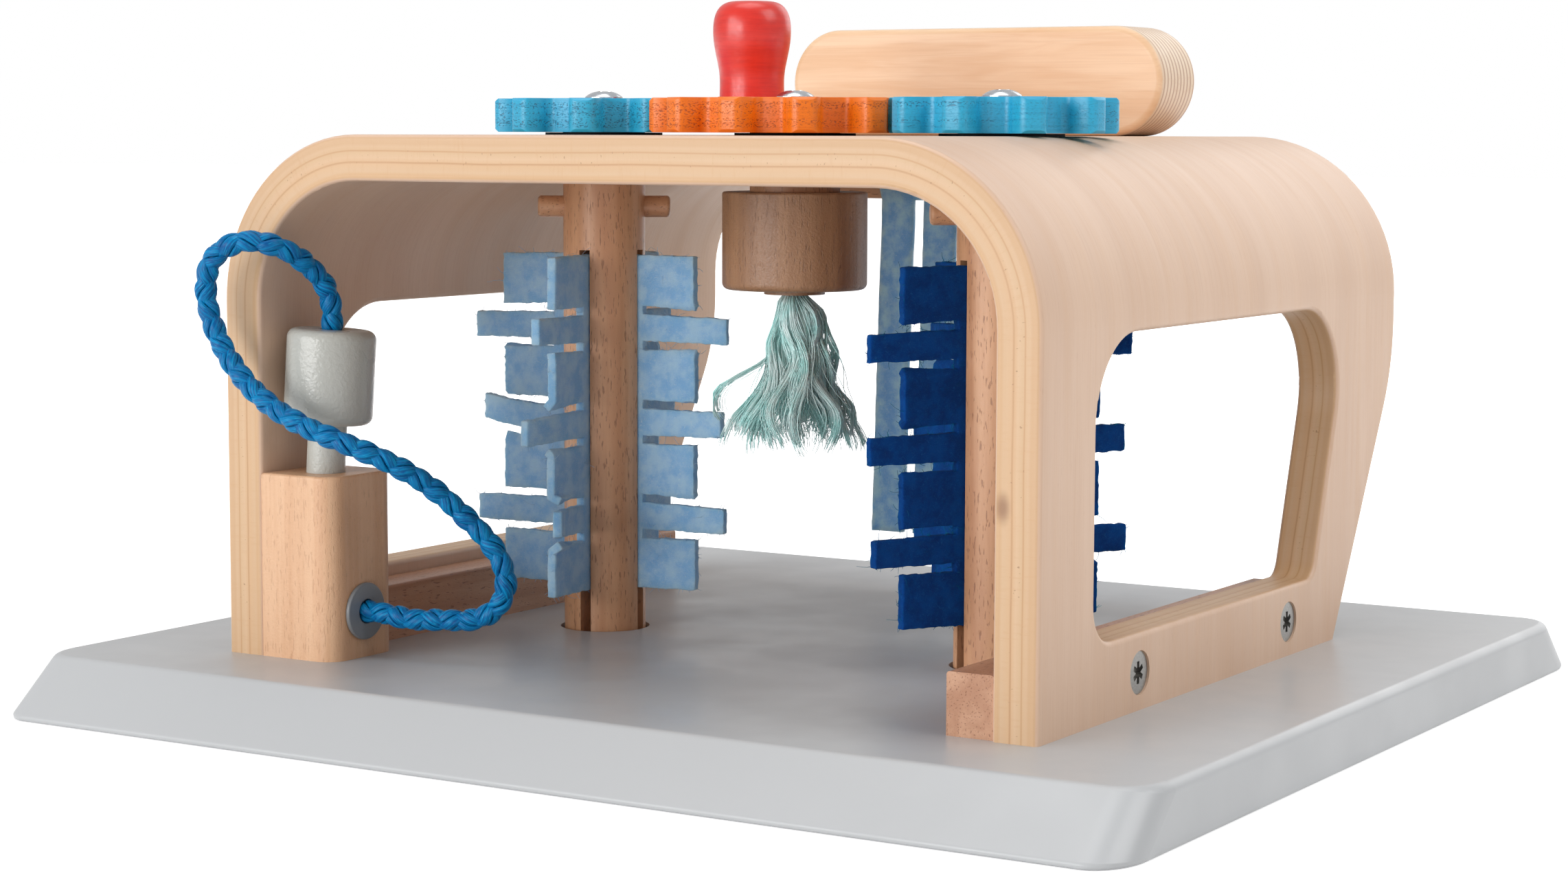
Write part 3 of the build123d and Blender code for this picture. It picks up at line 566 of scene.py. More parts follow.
grey_paint = paint("nozzle_grey_paint", nozzle_grey, gloss=0.28, peel=1.7, peel_depth=0.16)
dress(grey_paint, "nozzle_peg")
nozzle_top = nozzle_seat_high + nozzle_tall
nozzle = drilled_plug(
    "nozzle_body",
    nozzle_stand,
    wide=nozzle_wide,
    low=nozzle_seat_high,
    high=nozzle_top,
    rim=nozzle_round,
    hole=rope_hole,
    hole_deep=rope_hole_deep,
)
grommet = drilled_plug(
    "grommet_disc",
    grommet_stand,
    wide=grommet_wide,
    low=0.0,
    high=grommet_proud,
    rim=grommet_round,
    hole=rope_hole,
    hole_deep=grommet_proud * 0.9,
)
grommet_grey = paint("grommet_grey", grommet_dark_grey, gloss=0.30, peel=0.5, peel_depth=0.02)
for piece, node, body, made_of in (
    (nozzle, "spray_nozzle", "nozzle", grey_paint),
    (grommet, "hose_grommet", "root", grommet_grey),
):
    piece.data.materials.append(made_of)
    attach(piece, body)
    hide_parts(node)

# Rope: a round braid of eight polypropylene strands, four each way, that stands for the pump's hose.
# It loops out of the nozzle's top, hangs in front of the arch and comes back to the grommet.
rope_route = [
    (-58.8, 4.0, 63.2),
    (-59.6, -2.4, 66.8),
    (-64.2, -6.4, 68.2),
    (-69.8, -7.8, 65.6),
    (-72.6, -6.8, 59.8),
    (-71.0, -6.0, 52.8),
    (-66.2, -6.2, 46.6),
    (-59.8, -6.6, 42.0),
    (-52.6, -6.4, 38.8),
    (-45.8, -4.6, 36.4),
    (-40.4, -0.2, 33.4),
    (-36.2, 5.0, 29.4),
    (-31.8, 8.8, 24.0),
    (-27.6, 10.8, 19.2),
    (-25.8, 11.6, 13.8),
    (-27.8, 11.4, 9.2),
    (-32.4, 10.4, 7.2),
    (-37.8, 9.2, 7.2),
    (-43.0, 8.2, 6.8),
]
rope_exit = 5.0
rope_arrival = 4.0
rope_glued_in = 0.7
braid_strands = 8
braid_lay = 12.8
strand_wide = 0.80
strand_thin = 0.42
strand_weave = 0.34
strand_sides = 10


def place(across, depth, height):
    """A place across the toy, behind the arch's front edge and over the board's top, in millimetres."""
    return Vector((across * mm, arch_low.y + depth * mm, arch_low.z + height * mm))


def smooth_line(points):
    """The points along a NURBS spline whose control points these are."""
    curve = bpy.data.curves.new("line", "CURVE")
    curve.dimensions = "3D"
    curve.resolution_u = 20
    spline = curve.splines.new("NURBS")
    spline.points.add(len(points) - 1)
    for stop, point in zip(spline.points, points):
        stop.co = (*point, 1.0)
    spline.order_u = 3
    spline.use_endpoint_u = True
    holder = bpy.data.objects.new("line", curve)
    mesh = bpy.data.meshes.new_from_object(holder)
    line = [vertex.co.copy() for vertex in mesh.vertices]
    bpy.data.objects.remove(holder)
    bpy.data.meshes.remove(mesh)
    return line


def carried_frames(line):
    """Each point's way along a line, its direction, and two directions square to it that don't twist."""
    frames = []
    run = 0.0
    side = None
    for number, point in enumerate(line):
        ahead = line[min(number + 1, len(line) - 1)]
        behind = line[max(number - 1, 0)]
        direction = (ahead - behind).normalized()
        if side is None:
            side = direction.orthogonal().normalized()
        else:
            run += (point - line[number - 1]).length
            side = (side - side.dot(direction) * direction).normalized()
        frames.append((run, direction, side, direction.cross(side)))
    return frames


def tubes_mesh(name, tubes):
    """One mesh of many thin tubes, each a list of rings with its places along and around kept as UV."""
    vertices, faces, grid = [], [], []
    for rings, runs in tubes:
        sides = len(rings[0])
        first = len(vertices)
        for ring in rings:
            vertices.extend(ring)
        for step in range(len(rings) - 1):
            for side in range(sides):
                after = (side + 1) % sides
                a = first + step * sides
                b = a + sides
                faces.append((a + side, a + after, b + after, b + side))
                grid.append((runs[step], runs[step + 1], side / sides, (side + 1) / sides))
        last = first + (len(rings) - 1) * sides
        faces.append(tuple(first + side for side in reversed(range(sides))))
        grid.append(None)
        faces.append(tuple(last + side for side in range(sides)))
        grid.append(None)
    mesh = bpy.data.meshes.new(name)
    mesh.from_pydata(vertices, [], faces)
    uv = mesh.uv_layers.new(name="UVMap")
    for face, cell in zip(mesh.polygons, grid):
        if cell:
            low, high, left, right = cell
            corners = ((low, left), (low, right), (high, right), (high, left))
            for loop, corner in zip(face.loop_indices, corners):
                uv.data[loop].uv = corner
    mesh.shade_smooth()
    return placed(name, mesh)


def braid(line):
    """Strands wound both ways round a line, each passing over two of the others and then under two."""
    frames = carried_frames(line)
    each_way = braid_strands // 2
    wide = strand_wide * mm
    thin = strand_thin * mm
    weave = strand_weave * mm
    reach = rope_thick * mm / 2 - thin - weave * 0.7
    tilt = math.atan(math.tau * reach / (braid_lay * mm))
    tubes = []
    for strand in range(braid_strands):
        way = 1 if strand % 2 else -1
        start = math.tau * (strand // 2) / each_way
        rings, runs = [], []
        for (run, direction, first, second), point in zip(frames, line):
            turn = math.tau * run / (braid_lay * mm)
            angle = start + way * turn
            over = way * math.cos(2 * turn - math.pi / 4)
            out = first * math.cos(angle) + second * math.sin(angle)
            around = direction.cross(out)
            middle = point + out * (reach + weave * over)
            across = around * math.cos(tilt) - direction * way * math.sin(tilt)
            plump = 1 + 0.12 * over
            ring = []
            for side in range(strand_sides):
                corner = math.tau * side / strand_sides
                off = across * wide * math.cos(corner) - out * thin * math.sin(corner)
                ring.append(middle + off * plump)
            rings.append(ring)
            runs.append(run / mm)
        tubes.append((rings, runs))
    return tubes


nozzle_end = nozzle_stand @ Vector((0, 0, nozzle_top))
nozzle_leave = nozzle_stand @ Vector((0, 0, nozzle_top + rope_exit))
grommet_end = grommet_stand @ Vector((0, 0, grommet_proud))
grommet_leave = grommet_stand @ Vector((0, 0, grommet_proud + rope_arrival))
route = [place(*stop) for stop in reversed(rope_route)]
rope_line = smooth_line([grommet_end, grommet_leave, *route, nozzle_leave, nozzle_end])
first_way = (rope_line[0] - rope_line[1]).normalized() * rope_glued_in * mm
last_way = (rope_line[-1] - rope_line[-2]).normalized() * rope_glued_in * mm
braid_line = [rope_line[0] + first_way, *rope_line, rope_line[-1] + last_way]
rope = tubes_mesh("hose_braid", braid(braid_line))


def polypropylene(name):
    """Blue filaments along each strand, with painted shade between them and in darker stretches, and
    painted highlights for glints.
    """
    made, tree, shader = material(name, Specular_IOR_Level=0.18)
    along = add(tree, "TexCoord", {})["UV"]
    filaments = drawn_noise(tree, along, (0.25, 15.0, 1.0), 3.0, 0.6)
    drift = noise(tree, millimetres(tree), 0.5, 2.0)
    painted_glints = drawn_noise(tree, along, (0.8, 34.0, 1.0), 2.0, 0.6)
    # The filaments' light tone is their colour; the dark tone between them is painted shade in the gaps.
    tone = mixed(tree, between(tree, filaments, 0.35, 0.7), shade(0, 88, 150), shade(0, 142, 200))
    # Painted shade: darker stretches laid into the strands' colour.
    tone = tinted(tree, tone, drift, 0.5, 0.8, 0.6, (0, 56, 126))
    # Painted highlights: bright glints laid into the strands' colour.
    tone = tinted(tree, tone, painted_glints, 0.56, 0.76, 0.75, (56, 192, 232))
    rough = between(tree, filaments, 0.3, 0.7, 0.30, 0.45)
    surface(tree, shader, tone, rough, filaments, 0.16, 0.8)
    return made


rope.data.materials.append(polypropylene("blue_polypropylene"))
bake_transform(rope)
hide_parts("hose_rope")

# Felt brushes: four comb-cut sheets of wool felt, two crossed in the saw slots of each post, light blue on
# the left and navy on the right. Their wide and narrow tabs are cut by hand, a little uneven and fuzzy.
felt_thick = 1.6
felt_spine = 8.7
wide_reach = 18.7
narrow_reach = 24.0
narrow_tall = 4.6
tab_gap = 1.45
tab_pairs = 3
slit_half = felt_thick / 2 + 0.2
felt_cell = 0.75
hairs = 520
hair_long = 2.4
hair_thick = 0.05
post_low, post_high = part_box("left_brush_post")
post_across = (post_low.x + post_high.x) / 2
gear_row = place(0, 56.2, 0).y


def steps_between(breaks, size):
    """Places from the first break to the last that hold every break, about one size apart."""
    places = []
    for low, high in zip(breaks, breaks[1:]):
        parts = max(1, round((high - low) / size))
        places += [low + (high - low) * part / parts for part in range(parts)]
    return places + [breaks[-1]]


def fuzz(sheet, dice):
    """Short curled hairs on a sheet of felt, most of them on its cut edges, joined to it."""
    roots = sheet.data.vertices
    edges = [root for root in roots if max(abs(root.normal.x), abs(root.normal.z)) > 0.5]
    tubes = []
    for hair in range(hairs):
        rooted = dice.choice(edges if hair % 4 else roots)
        way = (rooted.normal + Vector([dice.gauss(0, 0.6) for _ in range(3)])).normalized()
        curl = Vector([dice.gauss(0, 0.5) for _ in range(3)])
        curl -= curl.dot(way) * way
        long = min(hair_long, 0.4 + dice.expovariate(2.2))
        rings = []
        beside = way.cross(curl).normalized()
        for step in range(4):
            share = step / 3
            middle = rooted.co + (way * share + curl * share**2) * long
            above = (way + 2 * curl * share).normalized().cross(beside)
            thick = hair_thick * (1 - 0.5 * share)
            ring = []
            for side in range(3):
                turn = math.tau * side / 3
                ring.append(middle + (beside * math.cos(turn) + above * math.sin(turn)) * thick)
            rings.append(ring)
        tubes.append((rings, [step / 3 for step in range(4)]))
    hair_tubes = tubes_mesh("fuzz", tubes)
    pick(sheet)
    hair_tubes.select_set(True)
    bpy.ops.object.join()


def cut_cells(columns, rows, holds):
    """A flat sheet in cells between these columns and rows, where the cut-out holds a cell's middle."""
    shape = bmesh.new()
    grid = {}
    for column in range(len(columns) - 1):
        for row in range(len(rows) - 1):
            across = (columns[column] + columns[column + 1]) / 2
            height = (rows[row] + rows[row + 1]) / 2
            if not holds(across, height):
                continue
            ring = []
            for spot in ((column, row), (column + 1, row), (column + 1, row + 1), (column, row + 1)):
                if spot not in grid:
                    grid[spot] = shape.verts.new((columns[spot[0]], 0, rows[spot[1]]))
                ring.append(grid[spot])
            shape.faces.new(ring)
    return shape


def thickened(name, shape, thickness):
    """An object made of a flat sheet, with half its thickness to each side."""
    mesh = bpy.data.meshes.new(name)
    shape.to_mesh(mesh)
    shape.free()
    made = placed(name, mesh)
    pick(made)
    thicken = made.modifiers.new("thickness", "SOLIDIFY")
    thicken.thickness = thickness
    thicken.offset = 0
    bpy.ops.object.modifier_apply(modifier="thickness")
    return made


def felt_sheet(name, node, across, turn, slip, upper_slit, bends, seed):
    """A comb of felt about a post, cut from cells, its tabs bent a little, then given its thickness."""
    dice = random.Random(seed)
    low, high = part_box(node)
    bottom = (low.z - arch_low.z) / mm
    top = (high.z - arch_low.z) / mm
    wide_tall = (top - bottom - tab_pairs * (narrow_tall + 2 * tab_gap)) / (tab_pairs + 1)
    levels = [bottom]
    for tab in range(2 * tab_pairs + 1):
        levels.append(levels[-1] + (narrow_tall if tab % 2 else wide_tall))
        levels.append(levels[-1] + tab_gap)
    levels = levels[:-1]
    middle = (bottom + top) / 2
    middles = [(foot + head) / 2 for foot, head in zip(levels[::2], levels[1::2])]
    rows = steps_between(sorted(levels + [middle]), felt_cell)
    reaches = (felt_spine, wide_reach, narrow_reach)
    breaks = sorted([-reach for reach in reaches] + [-slit_half, slit_half] + list(reaches))
    columns = steps_between(breaks, felt_cell)

    def inside(reach, height):
        """Whether the comb has felt there: in the spine or a tab, and not in the slit."""
        if abs(reach) < slit_half and (height > middle) == upper_slit:
            return False
        if abs(reach) < felt_spine:
            return True
        for tab in range(2 * tab_pairs + 1):
            if levels[2 * tab] < height < levels[2 * tab + 1]:
                return abs(reach) < (narrow_reach if tab % 2 else wide_reach)
        return False

    shape = cut_cells(columns, rows, inside)
    tilts = [(dice.uniform(-0.02, 0.02), dice.uniform(-0.012, 0.012)) for _ in range(4 * tab_pairs + 2)]
    for vertex in shape.verts:
        reach, _, height = vertex.co
        beyond = max(0.0, abs(reach) - felt_spine)
        tab = min(range(len(middles)), key=lambda number: abs(height - middles[number]))
        side = 0 if reach < 0 else 1
        bend, droop = bends.get((tab, side), (0.0, 0.0))
        spread, skew = tilts[2 * tab + side]
        if vertex.is_boundary and abs(reach) > slit_half + 0.1:
            vertex.co.x += dice.uniform(-0.10, 0.10)
            vertex.co.z += dice.uniform(-0.10, 0.10)
        angle = (bend + spread * 4) * beyond / (narrow_reach - felt_spine)
        if beyond > 0:
            sign = -1 if reach < 0 else 1
            arc = beyond if abs(angle) < 0.001 else beyond * math.sin(angle) / angle
            side_way = 0.0 if abs(angle) < 0.001 else beyond * (1 - math.cos(angle)) / angle
            vertex.co.x = sign * (felt_spine + arc) + (vertex.co.x - reach)
            vertex.co.y = side_way
            share = beyond / (narrow_reach - felt_spine)
            vertex.co.z += skew * beyond - droop * share**2
            vertex.co.z = middles[tab] + (vertex.co.z - middles[tab]) * (1 - 0.05 * share)
    made = thickened(name, shape, felt_thick)
    soften = made.modifiers.new("soft edge", "BEVEL")
    soften.width = 0.25
    soften.segments = 2
    soften.angle_limit = math.radians(60)
    bpy.ops.object.modifier_apply(modifier="soft edge")
    for vertex in made.data.vertices:
        vertex.co += Vector([dice.uniform(-0.03, 0.03) for _ in range(3)])
    made.data.shade_smooth()
    fuzz(made, dice)
    made.data.transform(
        Matrix.Translation((across, gear_row, arch_low.z))
        @ Matrix.Rotation(math.radians(turn), 4, "Z")
        @ Matrix.Scale(mm, 4)
        @ Matrix.Translation((slip, 0, 0))
    )
    return made


def felt(name, light, dark, pale, sheen):
    """Pressed wool: soft clouds of colour, crossing fibres and a fuzzy sheen."""
    made, tree, shader = material(
        name,
        Roughness=0.95,
        Specular_IOR_Level=0.2,
        Sheen_Weight=sheen,
        Sheen_Roughness=0.5,
        Sheen_Tint=shade(*pale),
        Subsurface_Weight=0.6,
        Subsurface_Radius=(1.0, 1.0, 1.0),
        Subsurface_Scale=felt_thick * mm,
    )
    places = millimetres(tree)
    clouds = noise(tree, places, 0.30, 4.0, 0.6)
    wisps = noise(tree, places, 1.5, 4.0, 0.7, 2.5)
    fibres = noise(tree, places, 4.0, 3.0, 0.7, 3.0)
    tone = mixed(tree, between(tree, clouds, 0.35, 0.66), shade(*dark), shade(*light))
    tone = tinted(tree, tone, wisps, 0.52, 0.75, 0.55, pale)
    tone = mixed(tree, between(tree, fibres, 0.25, 0.5, 0.25, 0.0), tone, shade(*dark))
    relief = maths(tree, "ADD", fibres, wisps)
    surface(tree, shader, tone, None, relief, 0.22, 0.7)
    return made


light_felt = felt("light_blue_felt", (184, 220, 250), (146, 198, 242), (222, 238, 253), 0.2)
navy_felt = felt("navy_felt", (0, 72, 148), (0, 56, 124), (36, 106, 178), 0.08)

# Each tab's bend in radians and droop in millimetres, by its number from the foot and its side
left_near_bends = {
    (1, 0): (-0.45, -0.9),
    (3, 0): (0.35, 0.6),
    (5, 0): (0.0, -0.3),
    (1, 1): (0.1, 0.3),
}
left_far_bends = {
    (3, 0): (0.35, -1.4),
    (1, 1): (0.1, 0.3),
    (3, 1): (-0.1, -0.3),
    (5, 1): (0.2, 0.3),
}
right_bends = {
    (3, 0): (0.2, 0.3),
    (5, 0): (0.15, 0.5),
    (5, 1): (-0.3, 0.4),
}
left_pair = ("left_brush", post_across, light_felt, "light_felt")
right_pair = ("right_brush", -post_across, navy_felt, "navy_felt")
felt_sheets = (
    ("left_felt_a", left_pair, 6.0, -0.9, True, left_far_bends, 11),
    ("left_felt_b", left_pair, 96.0, 0.0, False, left_near_bends, 12),
    ("right_felt_a", right_pair, 61.0, 0.4, True, right_bends, 13),
    ("right_felt_b", right_pair, 151.0, 0.0, False, right_bends, 14),
)
felt_tall = (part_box("left_felt_a")[1].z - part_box("left_felt_a")[0].z) / mm
wide_tall = (felt_tall - tab_pairs * (narrow_tall + 2 * tab_gap)) / (tab_pairs + 1)
felt_area = 2 * felt_spine * felt_tall - slit_half * felt_tall
felt_area += 2 * (tab_pairs + 1) * wide_tall * (wide_reach - felt_spine)
felt_area += 2 * tab_pairs * narrow_tall * (narrow_reach - felt_spine)
felt_area *= mm * mm
for node, pair, turn, slip, upper_slit, bends, seed in felt_sheets:
    body, across, made_of, slot = pair
    sheet = felt_sheet(f"{node}_sheet", node, across, turn, slip, upper_slit, bends, seed)
    sheet.data.materials.append(made_of)
    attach(sheet, body)
    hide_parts(node)

# Mop yarn: a bundle of mint rayon yarn drawn up through the drum's collar, combed out below it. It hangs
# in wavy locks, one long lock trailing to the right and a thin one to the left, with stray fibres.
yarn_low, yarn_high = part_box("mop_yarn")
yarn_top = yarn_high.z
yarn_tall = (yarn_high.z - yarn_low.z) / mm
yarn_middle = Vector(((yarn_low.x + yarn_high.x) / 2, (yarn_low.y + yarn_high.y) / 2, yarn_top))
yarn_locks = 34
lock_fibres = 46
flyaways = 70
fibre_steps = 18
fibre_radius = 0.085
core_depth = 0.80
core_reach = 0.62
core_steps = 24
core_sides = 72


def profile(rows, down):
    """A value read off a table of depths and values, in straight lines between its rows."""
    for (low, first), (high, second) in zip(rows, rows[1:]):
        if down <= high:
            return first + (second - first) * (down - low) / (high - low)
    return rows[-1][1]


# How far the tuft stands out on the two sides that the front view shows, by the depth below its top, in mm
left_reach = (
    (0, 1.6),
    (0.9, 2.3),
    (4.7, 3.1),
    (7.6, 4.0),
    (10.6, 4.6),
    (12.3, 5.1),
    (16, 7.1),
    (20.3, 10.1),
    (27, 11.6),
)
right_reach = (
    (0, 1.2),
    (0.9, 2.4),
    (2.6, 4.4),
    (4.7, 5.2),
    (8.1, 5.5),
    (10.6, 6.3),
    (15.7, 7.6),
    (18.5, 9.3),
    (27, 10.6),
)
thin_lock = (
    (0, 1.0),
    (4.7, 2.4),
    (9.0, 4.2),
    (11.0, 6.0),
    (13.0, 9.6),
    (15.0, 12.2),
    (17.0, 12.9),
    (19.0, 12.8),
    (21, 12.0),
)
front_view_right = Vector((0.852, 0.524))


def tuft_reach(down, face):
    """How far the tuft stands out towards one side, at a depth below its top."""
    rightness = (1 + face.dot(front_view_right)) / 2
    return profile(left_reach, down) * (1 - rightness) + profile(right_reach, down) * rightness


def yarn_core():
    """The fluted inside of the bundle, which closes the tuft behind its locks."""
    rings, runs = [], []
    for step in range(core_steps + 1):
        down = core_depth * yarn_tall * step / core_steps
        lower = down / yarn_tall
        ring = []
        for side in range(core_sides):
            angle = -math.tau * side / core_sides
            face = Vector((math.cos(angle), math.sin(angle)))
            flute = math.sin(9 * angle + 5 * math.sin(9 * lower))
            flute += 0.7 * math.sin(24 * angle - 7 * math.sin(7 * lower))
            out = tuft_reach(down, face)
            out *= core_reach * (1 + 0.07 * flute) * (1 - 0.7 * (step / core_steps) ** 3)
            ring.append(yarn_middle + Vector((face.x * out * mm, face.y * out * mm, -down * mm)))
        rings.append(ring)
        runs.append(down)
    return rings, runs


def yarn_tuft(name, seed):
    """Locks of fine fibres that part from the collar, swell in waves and hang, and some single flyaways."""
    dice = random.Random(seed)
    tubes = []
    locks = []
    for number in range(yarn_locks):
        heading = math.tau * number * 0.382 + dice.uniform(-0.2, 0.2)
        reach = 0.40 + 0.60 * math.sqrt((number + 0.5) / yarn_locks)
        locks.append((heading, reach, dice.uniform(0.84, 0.99), lock_fibres, 1.3, None))
    left_heading = math.atan2(-front_view_right.y, -front_view_right.x)
    locks.append((left_heading, 1.0, 0.80, 60, 1.0, thin_lock))
    locks.append((left_heading + math.pi + 0.25, 1.03, 0.995, 50, 0.9, None))
    for _ in range(flyaways):
        heading = dice.uniform(0, math.tau)
        reach = dice.uniform(0.6, 1.12)
        locks.append((heading, reach, dice.uniform(0.45, 0.95), 1, 1.8, None))
    for heading, reach, share, fibres, loose, course in locks:
        fall = yarn_tall * share
        face = Vector((math.cos(heading), math.sin(heading)))
        beside = Vector((-face.y, face.x))
        wave = dice.uniform(0.9, 1.6)
        waves = dice.uniform(1.3, 1.9)
        phase = 2 * heading + dice.uniform(-0.6, 0.6)
        twist = dice.uniform(-1.6, 1.6)
        for _ in range(fibres):
            around = dice.uniform(0, math.tau)
            off = loose * min(1.7, abs(dice.gauss(0, 0.75)))
            long = fall * dice.uniform(0.88, 1.0)
            own = dice.uniform(0, math.tau)
            rings, runs = [], []
            for step in range(fibre_steps + 1):
                down = long * step / fibre_steps
                lower = down / yarn_tall
                out = profile(course, down) if course else tuft_reach(down, face) * reach
                out = max(0.0, out - off * min(1.0, lower * 4) * 0.6)
                swell = min(1.0, 0.25 + lower * 2.4)
                swing = wave * math.sin(phase + math.tau * waves * lower) * swell
                sway = 0.7 * wave * math.cos(phase * 1.7 + math.tau * waves * lower) * swell
                turn = around + twist * lower
                own_way = 0.16 * math.sin(own + 14 * lower)
                flat = face * (out + sway * min(1.0, lower * 3)) + beside * (swing + own_way)
                flat += Vector((math.cos(turn), math.sin(turn))) * off * (0.45 + 0.75 * lower)
                limit = 1.9 + 11.6 * min(1.0, 2.6 * lower)
                if flat.length > limit:
                    flat *= limit / flat.length
                middle = yarn_middle + Vector((flat.x * mm, flat.y * mm, -down * mm))
                radius = fibre_radius * mm * (1 - 0.35 * step / fibre_steps)
                ring = []
                for side in range(3):
                    angle = -math.tau * side / 3
                    ring.append(middle + Vector((math.cos(angle) * radius, math.sin(angle) * radius, 0)))
                rings.append(ring)
                runs.append(down)
            tubes.append((rings, runs))
    return tubes_mesh(name, [*tubes, yarn_core()])


def rayon(name):
    """Lustrous mint yarn, paler and deeper in drifts."""
    made, tree, shader = material(
        name,
        Roughness=0.34,
        Specular_IOR_Level=0.8,
        Sheen_Weight=0.9,
        Sheen_Tint=shade(230, 255, 252),
    )
    drift = noise(tree, millimetres(tree), 0.22, 3.0)
    tone = mixed(tree, between(tree, drift, 0.35, 0.65), shade(194, 250, 247), shade(232, 255, 254))
    surface(tree, shader, tone)
    return made


yarn = yarn_tuft("mop_yarn_tuft", 21)
yarn.data.materials.append(rayon("mint_rayon"))
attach(yarn, "mop_turner")
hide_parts("mop_yarn")

# Drying curtain: one sheet of thin mottled felt glued to a lath under the rear of the roof, and cut up from
# its lower edge into five strips that hang a little to the left and swing.
header_low, header_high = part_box("curtain_header")
strip_low, strip_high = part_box("curtain_strip_1")
strips = 5
strip_wide = (strip_high.x - strip_low.x) / mm
strip_gap = (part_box("curtain_strip_2")[0].x - strip_high.x) / mm
curtain_thick = 1.0
strip_lean = 2.1
strips_shift = 1.1
curtain_cell_wide = 1.1
curtain_cell_tall = 1.6


def curtain_sheet(name, seed):
    """The felt cut up into strips, each of them swayed its own way, then given its thickness."""
    dice = random.Random(seed)
    left = header_low.x / mm
    right = header_high.x / mm
    top = header_high.z / mm
    band = header_low.z / mm
    foot = strip_low.z / mm
    breaks = [left]
    for strip in range(strips):
        start = left + strip * (strip_wide + strip_gap)
        if strip:
            breaks.append(start)
        breaks.append(start + strip_wide)
    breaks[-1] = right
    columns = steps_between(breaks, curtain_cell_wide)
    rows = steps_between([foot, band, top], curtain_cell_tall)

    def inside(across, height):
        """Whether the curtain has felt there: in the band or in a strip."""
        return height > band or (across - left) % (strip_wide + strip_gap) < strip_wide

    shape = cut_cells(columns, rows, inside)
    waves = []
    for _ in range(strips):
        wave = dice.uniform(-0.5, 0.5)
        phase = dice.uniform(0, math.tau)
        waves.append((wave, phase, dice.uniform(-0.3, 0.3)))
    for vertex in shape.verts:
        across, _, height = vertex.co
        number = min(strips - 1, int((across - left) // (strip_wide + strip_gap)))
        wave, phase, more = waves[number]
        down = max(0.0, (band - height) / (band - foot))
        vertex.co.x += strips_shift * min(1.0, (top - height) / (top - band))
        vertex.co.x -= (strip_lean + more) * down**1.2
        vertex.co.y += wave * math.sin(phase + 4.0 * down) * down
        if vertex.is_boundary and down > 0:
            vertex.co.x += dice.uniform(-0.06, 0.06)
    made = thickened(name, shape, curtain_thick)
    back = (header_low.y + header_high.y) / 2
    made.data.transform(Matrix.Translation((0, back, 0)) @ Matrix.Scale(mm, 4))
    made.data.shade_smooth()
    return made


curtain = curtain_sheet("curtain_felt", 31)
# The curtain's felt is paler than the brushes' light felt: the paler tones are painted light, shining
# through it from behind.
curtain_blue = felt("curtain_blue_felt", (196, 230, 253), (140, 194, 240), (226, 241, 254), 0.2)
curtain.data.materials.append(curtain_blue)
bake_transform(curtain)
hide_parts("curtain_header", *[f"curtain_strip_{number + 1}" for number in range(strips)])

# Floor: a plain pale floor that looks white to the camera and keeps the toy's shadow. Its own faint light
# grows with the distance from the toy, so that it stays white to the horizon.
floor_near = 0.16
floor_far = 0.42
bpy.ops.object.select_all(action="DESELECT")
bpy.ops.mesh.primitive_plane_add(size=12.0, location=(0, 0, 0))
floor = bpy.context.active_object
floor.name = "floor"


def white_floor(name):
    """White, with a light of its own that only the camera and reflections see."""
    made, tree, shader = material(
        name,
        Base_Color=(0.8, 0.8, 0.8, 1.0),
        Roughness=0.9,
        Specular_IOR_Level=0.1,
        Emission_Color=(1, 1, 1, 1),
    )
    path = add(tree, "LightPath", {})
    seen = maths(tree, "MAXIMUM", path["Is Camera Ray"], path["Is Glossy Ray"])
    seen = maths(tree, "MAXIMUM", seen, path["Is Transmission Ray"])
    places = add(tree, "TexCoord", {})["Object"]
    way = add(tree, "VectorMath", {0: places}, operation="LENGTH")[1]
    glow = between(tree, way, floor_near, floor_far, 0.55, 1.0)
    tree.links.new(maths(tree, "MULTIPLY", seen, glow), shader.inputs["Emission Strength"])
    return made


floor.data.materials.append(white_floor("floor_white"))

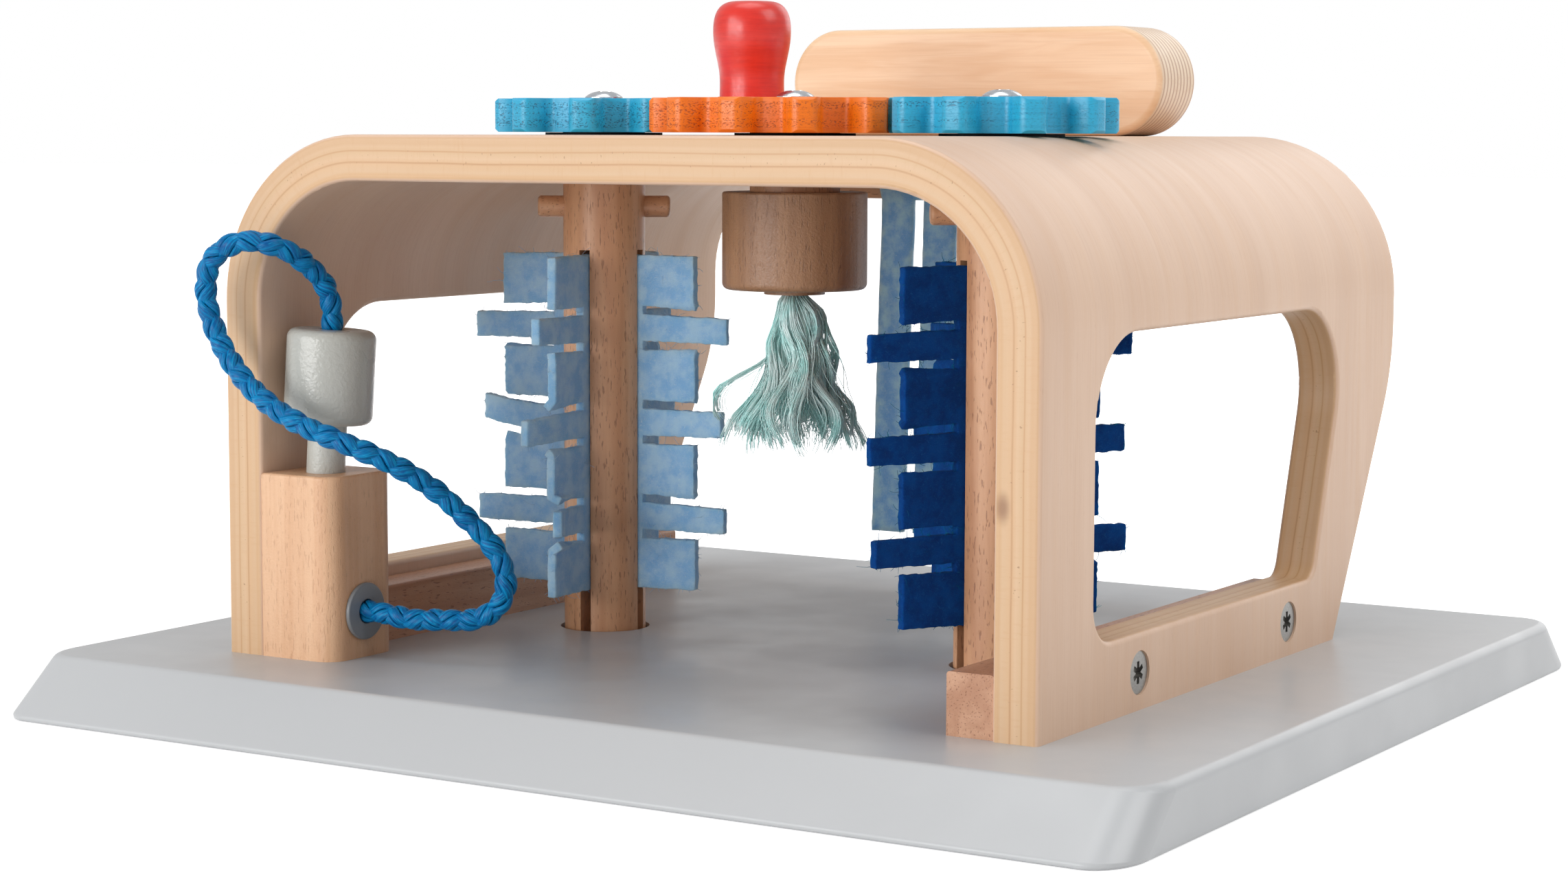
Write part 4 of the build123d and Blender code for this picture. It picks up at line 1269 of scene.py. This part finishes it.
# Light: a large soft key from the front left, a low front light that reaches into the lane, one from the
# right, one from above, a faint one from behind, and a pale surround.
lamps = (
    ("key", (-0.82, -1.40, 0.40), 0.8, 9.6),
    ("front", (-0.22, -1.55, 0.20), 0.6, 8.3),
    ("side", (1.05, 0.10, 0.90), 0.8, 6.6),
    ("top", (-0.15, 0.05, 1.5), 1.0, 7.6),
    ("rear", (0.15, 1.30, 0.55), 0.9, 3.4),
)
aim = Vector((0, 0, 0.04))
for name, spot, size, power in lamps:
    lamp = bpy.data.lights.new(name, "AREA")
    lamp.size = size
    lamp.energy = power
    holder = placed(name, lamp)
    holder.location = spot
    holder.rotation_euler = (aim - Vector(spot)).to_track_quat("-Z", "Y").to_euler()
surround_light = 0.30
world = bpy.data.worlds.new("surround")
bpy.context.scene.world = world
world.use_nodes = True
sky = world.node_tree
sky_shader = sky.nodes["Background"]
sky_shader.inputs["Color"].default_value = (1, 1, 1, 1)
sky_path = add(sky, "LightPath", {})
sky_seen = maths(sky, "MAXIMUM", sky_path["Is Camera Ray"], sky_path["Is Transmission Ray"])
sky_glossy = maths(sky, "MULTIPLY", sky_path["Is Glossy Ray"], 0.55)
sky_seen = maths(sky, "MAXIMUM", sky_seen, sky_glossy)
sky_strength = add(sky, "MapRange", {0: sky_seen, 1: 0.0, 2: 1.0, 3: surround_light, 4: 1.0})[0]
sky.links.new(sky_strength, sky_shader.inputs["Strength"])

# Camera: low in front of the toy and to its right, as the photograph was taken. Its place, its turns and
# its lens were fitted to the straight edges of the board, the arch and the block.
camera_data = bpy.data.cameras.new("camera")
camera_data.lens = 71.125
camera_data.sensor_width = 36.0
camera_data.clip_start = 0.01
camera = placed("camera", camera_data)
camera_turn = Matrix.Rotation(math.radians(31.609), 4, "Z")
camera_tilt = Matrix.Rotation(math.radians(90 - 5.633), 4, "X")
camera_roll = Matrix.Rotation(math.radians(0.175), 4, "Z")
camera_place = Matrix.Translation((0.26708, -0.44762, 0.09458))
camera.matrix_world = camera_place @ camera_turn @ camera_tilt @ camera_roll
bpy.context.scene.camera = camera
bpy.context.scene.view_settings.view_transform = "Standard"
